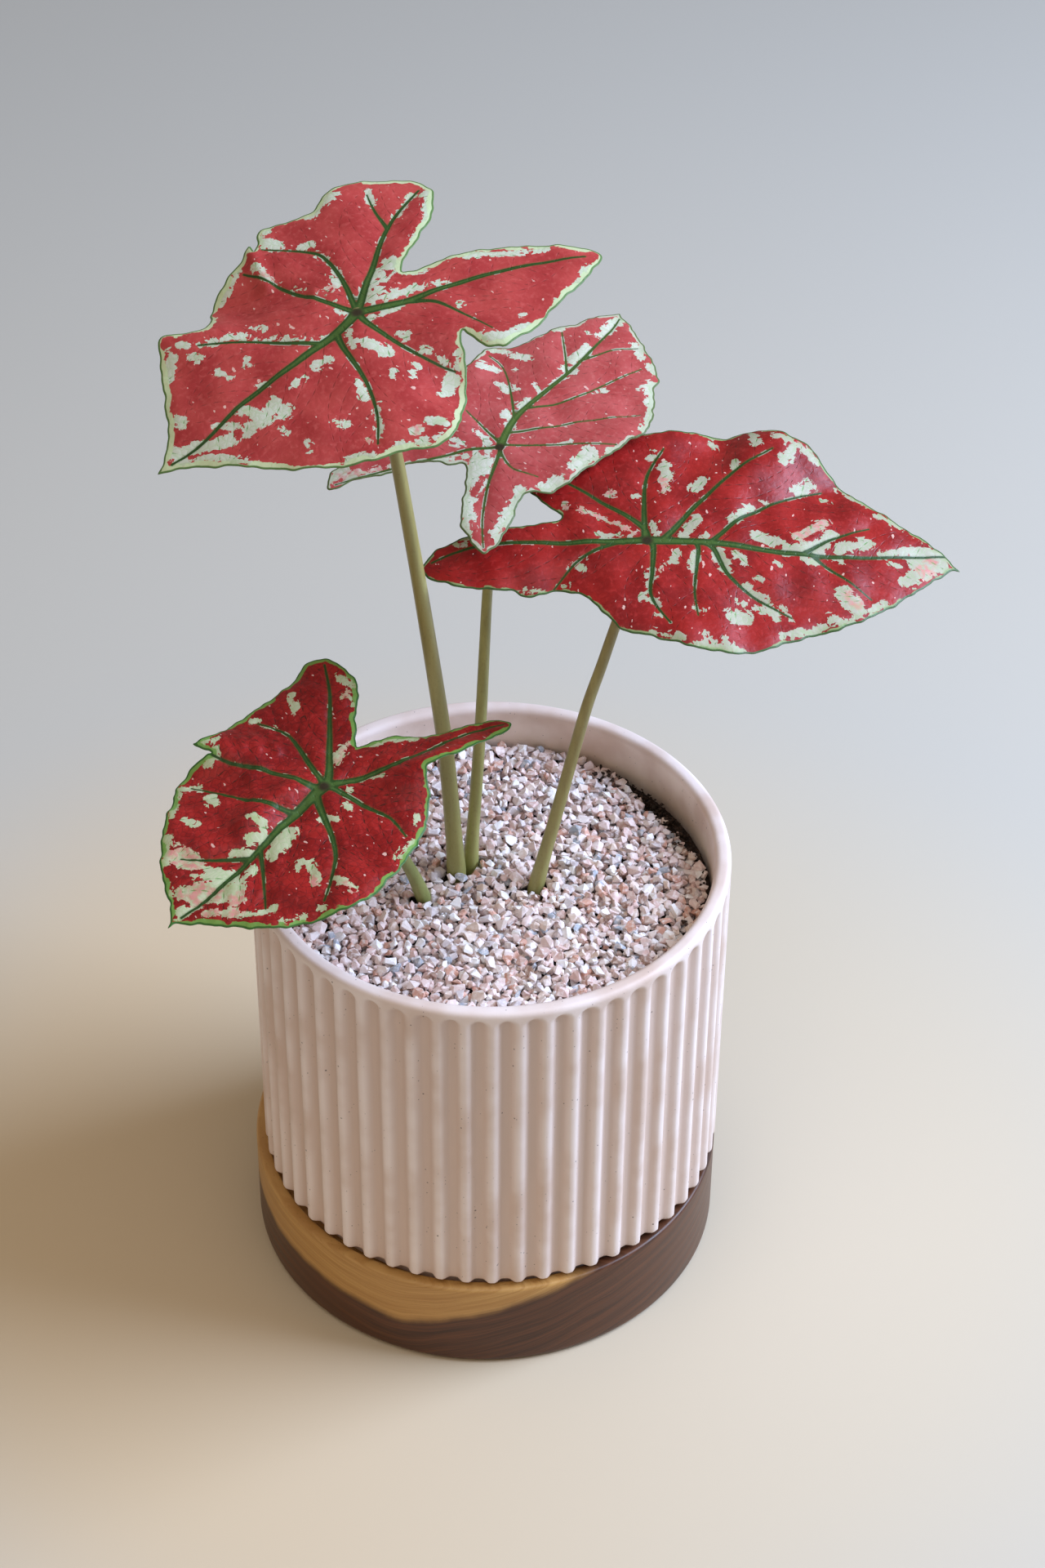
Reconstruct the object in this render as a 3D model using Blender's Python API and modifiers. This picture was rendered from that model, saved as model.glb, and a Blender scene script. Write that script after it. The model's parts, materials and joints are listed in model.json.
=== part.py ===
"""Potted caladium: four variegated leaves in a fluted ceramic pot on a turned wood base.

Run it with: blender --background --python part.py
The scene is in metres with +Z up. The origin is the centre of the wood base's underside.
Lengths in this file are millimetres, and MM turns them into metres where a mesh is made.
"""

import math
import random
from dataclasses import dataclass

import bmesh
import bpy
import numpy as np
from mathutils import Matrix, Vector, geometry

MM = 0.001
GAP = 0.3

# Turned wood base
BASE_RADIUS = 66.7
BASE_HEIGHT = 30.0
BASE_FOOT_ROUND = 2.4
BASE_LIP_ROUND = 1.0
RECESS_RADIUS = 63.0
RECESS_DEPTH = 3.0
BASE_SEGMENTS = 80

# Fluted pot, which stands off centre in the recess, against its right side
POT_RADIUS = 65.4
POT_WALL = 4.6
POT_SHIFT = 1.4
POT_FOOT_RADIUS = RECESS_RADIUS - POT_SHIFT - GAP
POT_BOTTOM = BASE_HEIGHT - RECESS_DEPTH + GAP
POT_SKIRT = BASE_HEIGHT + 1.1
POT_FLOOR = 6.0
RIM_HEIGHT = 134.0
RIM_BAND = 3.0
RIM_ROUND = 1.5
BORE_ROUND = 2.0
FLOOR_ROUND = 3.0
FLUTES = 56
FLUTE_DEPTH = 1.7
FLUTE_TURN = 1.2
FLUTE_SIDES = 4
RIDGE_END = 1.6
SKIRT_STEP = 0.9
BORE_SEGMENTS = 64
DRAIN_RADIUS = 5.0
DRAIN_SEGMENTS = 24

# What fills the pot
BORE_RADIUS = POT_RADIUS - POT_WALL
FILL_RADIUS = BORE_RADIUS - GAP
MIX_BOTTOM = POT_BOTTOM + POT_FLOOR + GAP
MIX_TOP = 118.5
GRIT_BOTTOM = MIX_TOP + GAP
GRIT_TOP = 122.6
GRIT_SIDES = 72
STONE_SPACING = 3.8
STONE_RISE = (0.5, 2.0)
STONE_SINK = (-0.7, 0.0)
STONE_SHAKE = 0.24
STONE_CLEAR = 1.2
GRIT_SEED = 7

# Hollow of the grit against the wall at the right back, in degrees and millimetres
DIP_AZIMUTH = 32.0
DIP_SPREAD = 32.0
DIP_START = 50.0
DIP_DEPTH = 2.4

# Tuber in the mix, a flattened knob
TUBER_CENTRE = (-1.0, 1.5, 87.0)
TUBER_AXES = (20.0, 16.0, 11.0)
TUBER_KNOBS = 5
TUBER_KNOB_SHARE = 0.035

# Leaf blades and stalks
BLADE_THICKNESS = 0.8
BLADE_GRID = 6.0
BEND_LENGTH = 80.0
STALK_STEPS = 3
NECK_LENGTH = 4.0
HOLE_CLEARANCE = 0.45
PLEAT_START = 0.25

# How far a cutter runs past the surface that it cuts
CUT_PAST = 4.0
SMOOTH_ANGLE = 35.0


@dataclass(frozen=True)
class Pleat:
    """A fold that runs from the top of the stalk out to one point of the blade's margin."""

    along: float
    across: float
    width: float
    height: float

    def rise(self, along, across):
        """Height that this fold adds at a point of the blade."""
        reach = math.hypot(self.along, self.across)
        outward = (along * self.along + across * self.across) / reach
        aside = (across * self.along - along * self.across) / reach
        share = (outward / reach - PLEAT_START) / (1 - PLEAT_START)
        share = min(max(share, 0.0), 1.0)
        eased = share * share * (3 - 2 * share)
        return self.height * eased * math.exp(-((aside / self.width) ** 2))


@dataclass(frozen=True)
class Leaf:
    """One leaf. Its blade is drawn flat, along the midrib and across to the leaf's own left,
    from the top of the stalk, and then bent by the rise of each point."""

    name: str
    seat: tuple
    tilt: float
    tilt_heading: float
    midrib_heading: float
    tip_droop: float
    lobe_droop: float
    arch: float
    margin: tuple
    pleats: tuple
    stalk: tuple
    stalk_foot: tuple
    foot_radius: float
    neck_radius: float

    def rise(self, along, across):
        """Height of the bent blade above its flat drawing."""
        droop = self.tip_droop if along > 0 else self.lobe_droop
        sag = (droop * along**2 + self.arch * across**2) / BEND_LENGTH
        return sum(pleat.rise(along, across) for pleat in self.pleats) - sag

    def normal(self):
        tilt = math.radians(self.tilt)
        heading = math.radians(self.tilt_heading)
        level = Vector((math.cos(heading), math.sin(heading), 0.0)) * math.sin(tilt)
        return level + Vector((0.0, 0.0, math.cos(tilt)))

    def frame(self):
        """Places the flat drawing in the scene: X is the midrib, Y the leaf's left."""
        up = self.normal()
        heading = math.radians(self.midrib_heading)
        forward = Vector((math.cos(heading), math.sin(heading), 0.0))
        forward = (forward - up * forward.dot(up)).normalized()
        turn = Matrix((forward, up.cross(forward), up)).transposed().to_4x4()
        return Matrix.Translation(Vector(self.seat) * MM) @ turn


# Each margin starts at the tip and goes round by the left side. Its points are the tip,
# the bulges and hollows of the waved edge, the ends of both back lobes and the notch.
TALL = Leaf(
    name="tall",
    seat=(-30.8, -2.4, 304.8),
    tilt=14.0,
    tilt_heading=-110.0,
    midrib_heading=-139.4,
    tip_droop=0.20,
    lobe_droop=0.12,
    arch=0.10,
    margin=(
        (61.5, 0), (56.5, 4), (51.5, 10), (45, 18.5), (33.5, 32), (26.5, 37), (19.5, 39.5),
        (11, 43.5), (4.5, 40.5), (-4.5, 33), (-11, 25), (-14.5, 22.5), (-16, 29), (-20, 33.5),
        (-27, 32.5), (-36.5, 29.5), (-47.5, 27), (-55.5, 24), (-57, 20), (-49.5, 12),
        (-40, 5.5), (-30.5, 1), (-22.5, -1), (-16.5, -3.5), (-25, -9), (-33.5, -13.5),
        (-41, -21), (-40.5, -29), (-33, -34.5), (-23.5, -38.5), (-14, -36), (-3.5, -40),
        (3.5, -36), (10.5, -35), (18.5, -33), (22.5, -29.5), (28, -23.5), (34.5, -29.5),
        (39, -28), (45, -19), (54, -6),
    ),
    pleats=(
        Pleat(21, -30, 9, -5.0), Pleat(38, -32, 8, 3.0), Pleat(-3, 37, 8, -4.0),
        Pleat(-18, 31, 6, 2.0), Pleat(-26, -39, 9, 1.5),
    ),
    stalk=(
        (-8.1, 4.0, 123.0), (-10.1, 2.4, 158.7), (-12.0, 1.5, 180.0), (-16.0, 0.2, 214.8),
        (-18.8, -0.5, 237.1), (-22.1, -1.3, 262.3), (-25.8, -1.9, 284.6),
    ),
    stalk_foot=(-8.3, 3.2),
    foot_radius=2.35,
    neck_radius=1.5,
)
BACK = Leaf(
    name="back",
    seat=(3.5, 36.6, 239.8),
    tilt=12.0,
    tilt_heading=-90.0,
    midrib_heading=59.8,
    tip_droop=0.10,
    lobe_droop=0.10,
    arch=0.10,
    margin=(
        (64, 0), (59.5, 4.5), (53.5, 7.5), (48.5, 11.5), (42.5, 14), (36.5, 18), (33.5, 22.5),
        (25, 23.5), (15, 22), (5, 18.5), (-2, 19), (-10, 24), (-17.5, 29.5), (-27, 34),
        (-33, 31.5), (-26.5, 26.5), (-22, 21), (-15.5, 17), (-11.5, 10.5), (-9.5, 5),
        (-14, 1.5), (-22, -2), (-27.5, -5), (-31, -11), (-32.5, -15), (-23, -15),
        (-15.5, -14), (-9.5, -14.5), (-6.5, -19), (-1, -21.5), (5.5, -22.5), (16, -26.5),
        (22, -28.5), (29, -29), (38.5, -25.5), (45.5, -22.5), (52.5, -17.5), (59, -10),
    ),
    pleats=(Pleat(24, -29, 7, 2.0), Pleat(34, 18, 7, -1.5), Pleat(5, 20, 8, 1.5)),
    stalk=(
        (-4.1, 8.4, 123.0), (-2.6, 11.4, 147.0), (-1.3, 15.0, 169.3), (-0.5, 18.8, 186.8),
        (0.3, 23.0, 203.1), (1.7, 29.0, 222.0),
    ),
    stalk_foot=(-3.0, 8.6),
    foot_radius=1.8,
    neck_radius=1.2,
)
RIGHT = Leaf(
    name="right",
    seat=(41.1, 9.5, 229.8),
    tilt=16.0,
    tilt_heading=-90.0,
    midrib_heading=0.6,
    tip_droop=0.15,
    lobe_droop=0.10,
    arch=0.12,
    margin=(
        (80.5, 0), (76, 5), (69.5, 9.5), (60, 16), (51.5, 24), (42, 34), (36.5, 37.5),
        (29, 40), (22, 38.5), (9.5, 38.5), (1, 37), (-8, 34), (-18, 31.5), (-26, 28),
        (-30.5, 24), (-30, 18.5), (-25.5, 13), (-21.5, 9), (-25.5, 6.5), (-33, 6), (-40.5, 5),
        (-49, 2.5), (-54.5, -1), (-57.5, -5), (-55, -9), (-48, -12), (-35, -13.5),
        (-26, -14.5), (-19.5, -15.5), (-11.5, -22), (-0.5, -29.5), (10, -33.5), (17, -34.5),
        (24, -34), (30.5, -31.5), (40, -27), (50, -23.5), (59.5, -18), (70, -9.5),
    ),
    pleats=(
        Pleat(38, 37, 8, 3.0), Pleat(22, 36, 7, -3.0), Pleat(52, 22, 8, -2.5),
        Pleat(-26, -16, 7, -2.5), Pleat(10, -33, 10, 2.0), Pleat(40, -28, 10, -1.5),
    ),
    stalk=(
        (14.0, -1.1, 123.0), (19.1, 1.0, 146.1), (23.6, 3.0, 166.6), (26.8, 4.4, 180.6),
        (30.3, 5.6, 192.8), (33.6, 6.8, 204.8), (38.0, 8.4, 219.5),
    ),
    stalk_foot=(10.5, -2.2),
    foot_radius=1.9,
    neck_radius=1.25,
)
LOW = Leaf(
    name="low",
    seat=(-41.1, -32.7, 182.3),
    tilt=10.0,
    tilt_heading=-110.0,
    midrib_heading=-134.1,
    tip_droop=0.12,
    lobe_droop=0.02,
    arch=0.06,
    margin=(
        (54, 0), (47, 10), (42, 17.5), (37.5, 23), (32.5, 27), (27, 30.5), (19.5, 33.5),
        (12, 33.5), (4.5, 32), (-3, 30), (-9.5, 27), (-15, 23.5), (-21, 20.5), (-28, 20.5),
        (-37, 21), (-44, 21.5), (-48, 19.5), (-46, 16.5), (-42, 14), (-36, 11), (-29.5, 7.5),
        (-23.5, 1), (-15.5, -4), (-19.5, -8.5), (-24, -13), (-29, -17), (-31, -23),
        (-29.5, -30), (-25, -33), (-19, -32.5), (-8.5, -33.5), (4.5, -35), (12.5, -35),
        (15, -31.5), (22, -31), (33, -24.5), (39.5, -19), (45, -13.5), (50, -6.5),
    ),
    pleats=(
        Pleat(11, -38, 6, 4.0), Pleat(20, -29, 7, -2.5), Pleat(-24, 20, 9, 6.0),
        Pleat(-33, -31, 14, 4.0), Pleat(20, 33, 12, 2.0),
    ),
    stalk=(
        (-17.3, -6.1, 123.0), (-20.9, -9.3, 136.0), (-26.6, -15.2, 152.0),
        (-33.4, -22.9, 167.6),
    ),
    stalk_foot=(-12.0, -3.2),
    foot_radius=1.8,
    neck_radius=1.3,
)
LEAVES = (TALL, BACK, RIGHT, LOW)


def clear_scene():
    for obj in list(bpy.data.objects):
        bpy.data.objects.remove(obj, do_unlink=True)


def make_collection(name):
    collection = bpy.data.collections.new(name)
    bpy.context.scene.collection.children.link(collection)
    return collection


def make_material(name, colour, roughness):
    material = bpy.data.materials.new(name)
    material.use_nodes = True
    shader = material.node_tree.nodes["Principled BSDF"]
    shader.inputs["Base Color"].default_value = (*colour, 1.0)
    shader.inputs["Roughness"].default_value = roughness
    shader.inputs["Metallic"].default_value = 0.0
    return material


def add_object(name, data, collection, material=None):
    obj = bpy.data.objects.new(name, data)
    collection.objects.link(obj)
    if material:
        data.materials.append(material)
    return obj


def hide_cutter(obj):
    obj.hide_render = True
    obj.display_type = "WIRE"


def shade_round(obj):
    obj.data.shade_smooth()
    obj.data.set_sharp_from_angle(angle=math.radians(SMOOTH_ANGLE))


def evaluated_mesh(obj):
    """The object's mesh with its modifiers or its curve bevel applied."""
    graph = bpy.context.evaluated_depsgraph_get()
    graph.update()
    return bpy.data.meshes.new_from_object(obj.evaluated_get(graph))


def weld(mesh, distance=0.01):
    """Joins the loose caps and seams of a mesh and turns its faces outwards."""
    work = bmesh.new()
    work.from_mesh(mesh)
    bmesh.ops.remove_doubles(work, verts=work.verts, dist=distance * MM)
    bmesh.ops.recalc_face_normals(work, faces=work.faces)
    work.to_mesh(mesh)
    work.free()


def arc(centre_r, centre_z, radius, start, end, steps=3):
    """Points of a round corner in a turned profile, from one angle to another in degrees."""
    points = []
    for step in range(steps + 1):
        angle = math.radians(start + (end - start) * step / steps)
        points.append((centre_r + radius * math.cos(angle), centre_z + radius * math.sin(angle)))
    return points


def turned(name, profile, segments, collection, material=None):
    """A solid of revolution from (radius, height) points that run down its outer side."""
    mesh = bpy.data.meshes.new(name)
    points = [(radius * MM, 0.0, height * MM) for radius, height in profile]
    edges = [(index, index + 1) for index in range(len(points) - 1)]
    mesh.from_pydata(points, edges, [])
    guide = add_object(name, mesh, collection)
    screw = guide.modifiers.new("turn", "SCREW")
    screw.steps = segments
    screw.render_steps = segments
    screw.use_merge_vertices = True
    screw.merge_threshold = 0.00001
    solid = evaluated_mesh(guide)
    bpy.data.objects.remove(guide, do_unlink=True)
    weld(solid)
    return add_object(name, solid, collection, material)


def cut(obj, cutter):
    boolean = obj.modifiers.new("cut " + cutter.name, "BOOLEAN")
    boolean.operation = "DIFFERENCE"
    boolean.solver = "EXACT"
    boolean.object = cutter


def make_wood_base(collection, material):
    """One turned block with a low lip round the recess that the pot's foot stands in."""
    recess = BASE_HEIGHT - RECESS_DEPTH
    lip = BASE_RADIUS - BASE_LIP_ROUND
    foot = BASE_RADIUS - BASE_FOOT_ROUND
    profile = [(0.0, recess), (RECESS_RADIUS, recess), (RECESS_RADIUS, BASE_HEIGHT)]
    profile += arc(lip, BASE_HEIGHT - BASE_LIP_ROUND, BASE_LIP_ROUND, 90, 0, 2)
    profile += arc(foot, BASE_FOOT_ROUND, BASE_FOOT_ROUND, 0, -90)
    profile.append((0.0, 0.0))
    base = turned("wood_base", profile, BASE_SEGMENTS, collection, material)
    shade_round(base)
    return base


def flute(mesh):
    """Presses upright flutes into a turned wall. Four points to a flute, set half a step
    round, give a flat-topped ridge and a flat-bottomed hollow of the same width."""
    band = (RIM_HEIGHT - RIM_BAND) * MM
    for vertex in mesh.vertices:
        radius = math.hypot(vertex.co.x, vertex.co.y)
        if radius < (POT_FOOT_RADIUS + 0.5) * MM or vertex.co.z > band:
            continue
        angle = math.atan2(vertex.co.y, vertex.co.x) + math.pi / (FLUTES * FLUTE_SIDES)
        if math.cos(FLUTES * angle) < 0:
            pressed = (radius - FLUTE_DEPTH * MM) / radius
            vertex.co.x *= pressed
            vertex.co.y *= pressed


def make_pot(collection, cutters, material):
    """The cast pot: a fluted outside, a plain rim band, a set-in foot and a plain bore."""
    rim = POT_RADIUS - RIM_ROUND
    flute_top = RIM_HEIGHT - RIM_BAND
    profile = [(0.0, RIM_HEIGHT)]
    profile += arc(rim, RIM_HEIGHT - RIM_ROUND, RIM_ROUND, 90, 0, 2)
    profile += [(POT_RADIUS, flute_top + 0.01), (POT_RADIUS, flute_top - RIDGE_END)]
    profile += [(POT_RADIUS, POT_SKIRT + RIDGE_END), (POT_RADIUS - SKIRT_STEP, POT_SKIRT)]
    profile += [(POT_FOOT_RADIUS, POT_SKIRT), (POT_FOOT_RADIUS, POT_BOTTOM)]
    profile.append((0.0, POT_BOTTOM))
    pot = turned("pot", profile, FLUTES * FLUTE_SIDES, collection, material)
    flute(pot.data)
    place = Matrix.Rotation(math.radians(FLUTE_TURN), 4, "Z")
    pot.matrix_world = Matrix.Translation((POT_SHIFT * MM, 0.0, 0.0)) @ place
    floor = POT_BOTTOM + POT_FLOOR
    above = RIM_HEIGHT + CUT_PAST
    mouth = BORE_RADIUS + BORE_ROUND
    bore = [(0.0, above), (mouth, above), (mouth, RIM_HEIGHT)]
    bore += arc(mouth, RIM_HEIGHT - BORE_ROUND - 0.1, BORE_ROUND, 90, 180, 2)
    bore += arc(BORE_RADIUS - FLOOR_ROUND, floor + FLOOR_ROUND, FLOOR_ROUND, 0, -90, 2)
    bore.append((0.0, floor))
    bore_cutter = turned("pot_bore", bore, BORE_SEGMENTS, cutters)
    bore_cutter.location.x = POT_SHIFT * MM
    drain = [(0.0, floor + CUT_PAST), (DRAIN_RADIUS, floor + CUT_PAST)]
    drain += [(DRAIN_RADIUS, POT_BOTTOM - CUT_PAST), (0.0, POT_BOTTOM - CUT_PAST)]
    drain_cutter = turned("drain_hole", drain, DRAIN_SEGMENTS, cutters)
    drain_cutter.location.x = POT_SHIFT * MM
    for cutter in (bore_cutter, drain_cutter):
        hide_cutter(cutter)
        cut(pot, cutter)
    shade_round(pot)
    return pot


def tuber_mesh(name, swell):
    """A flattened, slightly knobbly ball. swell makes it larger all round."""
    mesh = bpy.data.meshes.new(name)
    work = bmesh.new()
    bmesh.ops.create_uvsphere(work, u_segments=20, v_segments=12, radius=1.0)
    for vertex in work.verts:
        turn = math.atan2(vertex.co.y, vertex.co.x)
        knob = 1 + TUBER_KNOB_SHARE * math.sin(TUBER_KNOBS * turn) * (1 - vertex.co.z**2)
        vertex.co = Vector(
            vertex.co[axis] * (TUBER_AXES[axis] * knob + swell) * MM for axis in range(3)
        )
    work.to_mesh(mesh)
    work.free()
    return mesh


def make_tuber(collection, material):
    tuber = add_object("tuber", tuber_mesh("tuber", 0.0), collection, material)
    tuber.location = Vector(TUBER_CENTRE) * MM
    tuber.data.shade_smooth()
    return tuber


def tuber_top(x, y):
    """Height of the tuber's upper side over a point, with its knobs at their largest."""
    across = ((x - TUBER_CENTRE[0]) / TUBER_AXES[0]) ** 2
    across += ((y - TUBER_CENTRE[1]) / TUBER_AXES[1]) ** 2
    rise = TUBER_AXES[2] * math.sqrt(1 - across) * (1 + TUBER_KNOB_SHARE / 2)
    return TUBER_CENTRE[2] + rise


def spline(points, steps, closed):
    """Catmull-Rom points through the given ones, with the given steps between each pair."""
    points = [np.array(point, float) for point in points]
    count = len(points)
    curve = []
    for index in range(count if closed else count - 1):
        if closed:
            before, start, end, after = (points[(index + k) % count] for k in (-1, 0, 1, 2))
        else:
            start, end = points[index], points[index + 1]
            before = points[max(index - 1, 0)]
            after = points[min(index + 2, count - 1)]
        for step in range(steps):
            t = step / steps
            value = 2 * start + (end - before) * t
            value = value + (2 * before - 5 * start + 4 * end - after) * t**2
            value = value + (3 * start - before - 3 * end + after) * t**3
            curve.append(value / 2)
    if not closed:
        curve.append(points[-1])
    return curve


def stalk_route(leaf):
    """(point, radius) pairs from the tuber up to just under the blade."""
    foot_x, foot_y = leaf.stalk_foot
    edge = [
        tuber_top(foot_x + dx * leaf.foot_radius, foot_y + dy * leaf.foot_radius)
        for dx, dy in ((0, 0), (1, 0), (-1, 0), (0, 1), (0, -1))
    ]
    foot = (foot_x, foot_y, max(edge) + GAP)
    up = leaf.normal()
    under = Vector(leaf.seat) - up * (BLADE_THICKNESS / 2 + GAP)
    neck = under - up * NECK_LENGTH
    ground = Vector(leaf.stalk[0])
    rooted = Vector(foot).lerp(ground, 0.5)
    route = [foot, tuple(rooted), *leaf.stalk, tuple(neck)]
    curve = spline(route, STALK_STEPS, closed=False) + [np.array(under)]
    heights = [point[2] for point in curve]
    taper = [max(height - ground.z, 0.0) / (under.z - ground.z) for height in heights]
    spread = leaf.neck_radius - leaf.foot_radius
    return [(point, leaf.foot_radius + spread * t) for point, t in zip(curve, taper)]


def make_tube(name, route, collection, material=None, extra=0.0):
    """A round tapering rod through (point, radius) pairs, as a POLY curve with caps."""
    origin = Vector(route[0][0])
    curve = bpy.data.curves.new(name, "CURVE")
    curve.dimensions = "3D"
    curve.fill_mode = "FULL"
    curve.use_fill_caps = True
    curve.bevel_depth = MM
    curve.bevel_resolution = 2
    line = curve.splines.new("POLY")
    line.points.add(len(route) - 1)
    for slot, (point, radius) in zip(line.points, route):
        slot.co = (*((Vector(point) - origin) * MM), 1.0)
        slot.radius = radius + extra
    line.use_smooth = True
    rod = add_object(name, curve, collection, material)
    rod.location = origin * MM
    return rod


def make_stem_hole(leaf, cutters):
    """Cutter for the plain hole that a stalk stands in, from the tuber to above the grit."""
    route = [pair for pair in stalk_route(leaf) if pair[0][2] < RIM_HEIGHT]
    below = Vector(route[0][0]) - Vector((0.0, 0.0, CUT_PAST))
    route.insert(0, (below, route[0][1]))
    guide = make_tube("stem_hole_" + leaf.name, route, cutters, extra=HOLE_CLEARANCE)
    mesh = evaluated_mesh(guide)
    place = guide.matrix_basis.copy()
    name = guide.name
    bpy.data.objects.remove(guide, do_unlink=True)
    weld(mesh)
    hole = add_object(name, mesh, cutters)
    hole.matrix_world = place
    hide_cutter(hole)
    return hole


def make_potting_mix(collection, cutters, holes, material):
    """The mix that fills the pot, hollow where the tuber and the stalks are."""
    edge = FILL_RADIUS - FLOOR_ROUND
    profile = [(0.0, MIX_TOP), (FILL_RADIUS, MIX_TOP)]
    profile += arc(edge, MIX_BOTTOM + FLOOR_ROUND, FLOOR_ROUND, 0, -90, 2)
    profile.append((0.0, MIX_BOTTOM))
    mix = turned("potting_mix", profile, BORE_SEGMENTS, collection, material)
    mix.location.x = POT_SHIFT * MM
    space = add_object("tuber_space", tuber_mesh("tuber_space", GAP + 0.1), cutters)
    space.location = Vector(TUBER_CENTRE) * MM
    hide_cutter(space)
    for cutter in (space, *holes):
        cut(mix, cutter)
    shade_round(mix)
    return mix


def grit_level(x, y):
    """Height of the dressing without its stones at a flat place measured from the axis."""
    turn = math.degrees(math.atan2(y, x)) - DIP_AZIMUTH
    outward = (math.hypot(x, y) - DIP_START) / (FILL_RADIUS - DIP_START)
    return GRIT_TOP - DIP_DEPTH * max(outward, 0) * math.exp(-((turn / DIP_SPREAD) ** 2))


def stone_points(radius):
    """Flat layout of the grit: (x, y, height) of each stone's peak and of the low points
    between neighbours, on a hexagonal lattice that a seeded draw shakes."""
    rng = random.Random(GRIT_SEED)
    row_step = STONE_SPACING * math.sqrt(3) / 2
    reach = int(radius / row_step) + 2
    corners = ((STONE_SPACING / 2, row_step / 3), (0.0, row_step * 2 / 3))
    points = []
    for row in range(-reach, reach + 1):
        for column in range(-reach - 2, reach + 3):
            x = (column + 0.5 * (row % 2)) * STONE_SPACING
            y = row * row_step
            shake = [rng.uniform(-1, 1) * STONE_SHAKE * STONE_SPACING for _ in range(6)]
            spots = [(x + shake[0], y + shake[1], rng.uniform(*STONE_RISE))]
            for (dx, dy), (sx, sy) in zip(corners, (shake[2:4], shake[4:6])):
                spots.append((x + dx + sx / 2, y + dy + sy / 2, rng.uniform(*STONE_SINK)))
            for px, py, rise in spots:
                if math.hypot(px, py) < radius - STONE_CLEAR:
                    points.append((px, py, grit_level(px, py) + rise))
    return points


def make_grit(collection, holes, material):
    """The top dressing: one layer whose upper side is faceted into angular stones."""
    rim = []
    for side in range(GRIT_SIDES):
        angle = 2 * math.pi * side / GRIT_SIDES
        x, y = FILL_RADIUS * math.cos(angle), FILL_RADIUS * math.sin(angle)
        rim.append((x, y, grit_level(x, y)))
    points = rim + stone_points(FILL_RADIUS)
    flat = [Vector(point[:2]) for point in points]
    loop = [(side, (side + 1) % GRIT_SIDES) for side in range(GRIT_SIDES)]
    places, _, faces, sources, _, _ = geometry.delaunay_2d_cdt(flat, loop, [], 1, 0.0001)
    work = bmesh.new()
    vertices = []
    for place, source in zip(places, sources):
        height = points[source[0]][2]
        vertices.append(work.verts.new((place.x * MM, place.y * MM, height * MM)))
    for face in faces:
        work.faces.new([vertices[index] for index in face])
    border = [edge for edge in work.edges if edge.is_boundary]
    skirt = bmesh.ops.extrude_edge_only(work, edges=border)["geom"]
    for item in skirt:
        if isinstance(item, bmesh.types.BMVert):
            item.co.z = GRIT_BOTTOM * MM
    under = [edge for edge in work.edges if edge.is_boundary]
    bmesh.ops.contextual_create(work, geom=under)
    bmesh.ops.recalc_face_normals(work, faces=work.faces)
    mesh = bpy.data.meshes.new("grit")
    work.to_mesh(mesh)
    work.free()
    grit = add_object("grit", mesh, collection, material)
    grit.location.x = POT_SHIFT * MM
    for hole in holes:
        cut(grit, hole)
    return grit


def inside(point, loop):
    """Whether a flat point is inside a closed outline."""
    within = False
    for (ax, ay), (bx, by) in zip(loop, loop[1:] + loop[:1]):
        if (ay > point[1]) != (by > point[1]):
            if point[0] < ax + (point[1] - ay) * (bx - ax) / (by - ay):
                within = not within
    return within


def blade_points(loop):
    """Points of a triangular grid that lie inside the margin and clear of it."""
    edge = np.array(loop)
    row_step = BLADE_GRID * math.sqrt(3) / 2
    low, high = edge.min(axis=0), edge.max(axis=0)
    points = []
    for row in range(int(low[1] / row_step), int(high[1] / row_step) + 1):
        for column in range(int(low[0] / BLADE_GRID) - 1, int(high[0] / BLADE_GRID) + 2):
            spot = ((column + 0.5 * (row % 2)) * BLADE_GRID, row * row_step)
            clear = np.hypot(edge[:, 0] - spot[0], edge[:, 1] - spot[1]).min()
            if clear > BLADE_GRID * 0.5 and inside(spot, loop):
                points.append(spot)
    return points


def make_blade(leaf, collection, material):
    """A bent sheet of triangles inside the leaf's margin, thickened evenly both ways."""
    loop = [tuple(point) for point in spline(leaf.margin, 2, closed=True)]
    points = loop + blade_points(loop)
    border = [(index, (index + 1) % len(loop)) for index in range(len(loop))]
    flat = [Vector(point) for point in points]
    places, _, faces, _, _, _ = geometry.delaunay_2d_cdt(flat, border, [], 1, 0.0001)
    mesh = bpy.data.meshes.new("blade_" + leaf.name)
    bent = [Vector((place.x, place.y, leaf.rise(place.x, place.y))) * MM for place in places]
    mesh.from_pydata(bent, [], faces)
    work = bmesh.new()
    work.from_mesh(mesh)
    bmesh.ops.triangulate(work, faces=work.faces)
    bmesh.ops.recalc_face_normals(work, faces=work.faces)
    work.to_mesh(mesh)
    work.free()
    blade = add_object(mesh.name, mesh, collection, material)
    blade.matrix_world = leaf.frame()
    thickness = blade.modifiers.new("thickness", "SOLIDIFY")
    thickness.thickness = BLADE_THICKNESS * MM
    thickness.offset = 0.0
    mesh.shade_smooth()
    return blade


def make_stalk(leaf, collection, material):
    return make_tube("stalk_" + leaf.name, stalk_route(leaf), collection, material)


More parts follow.
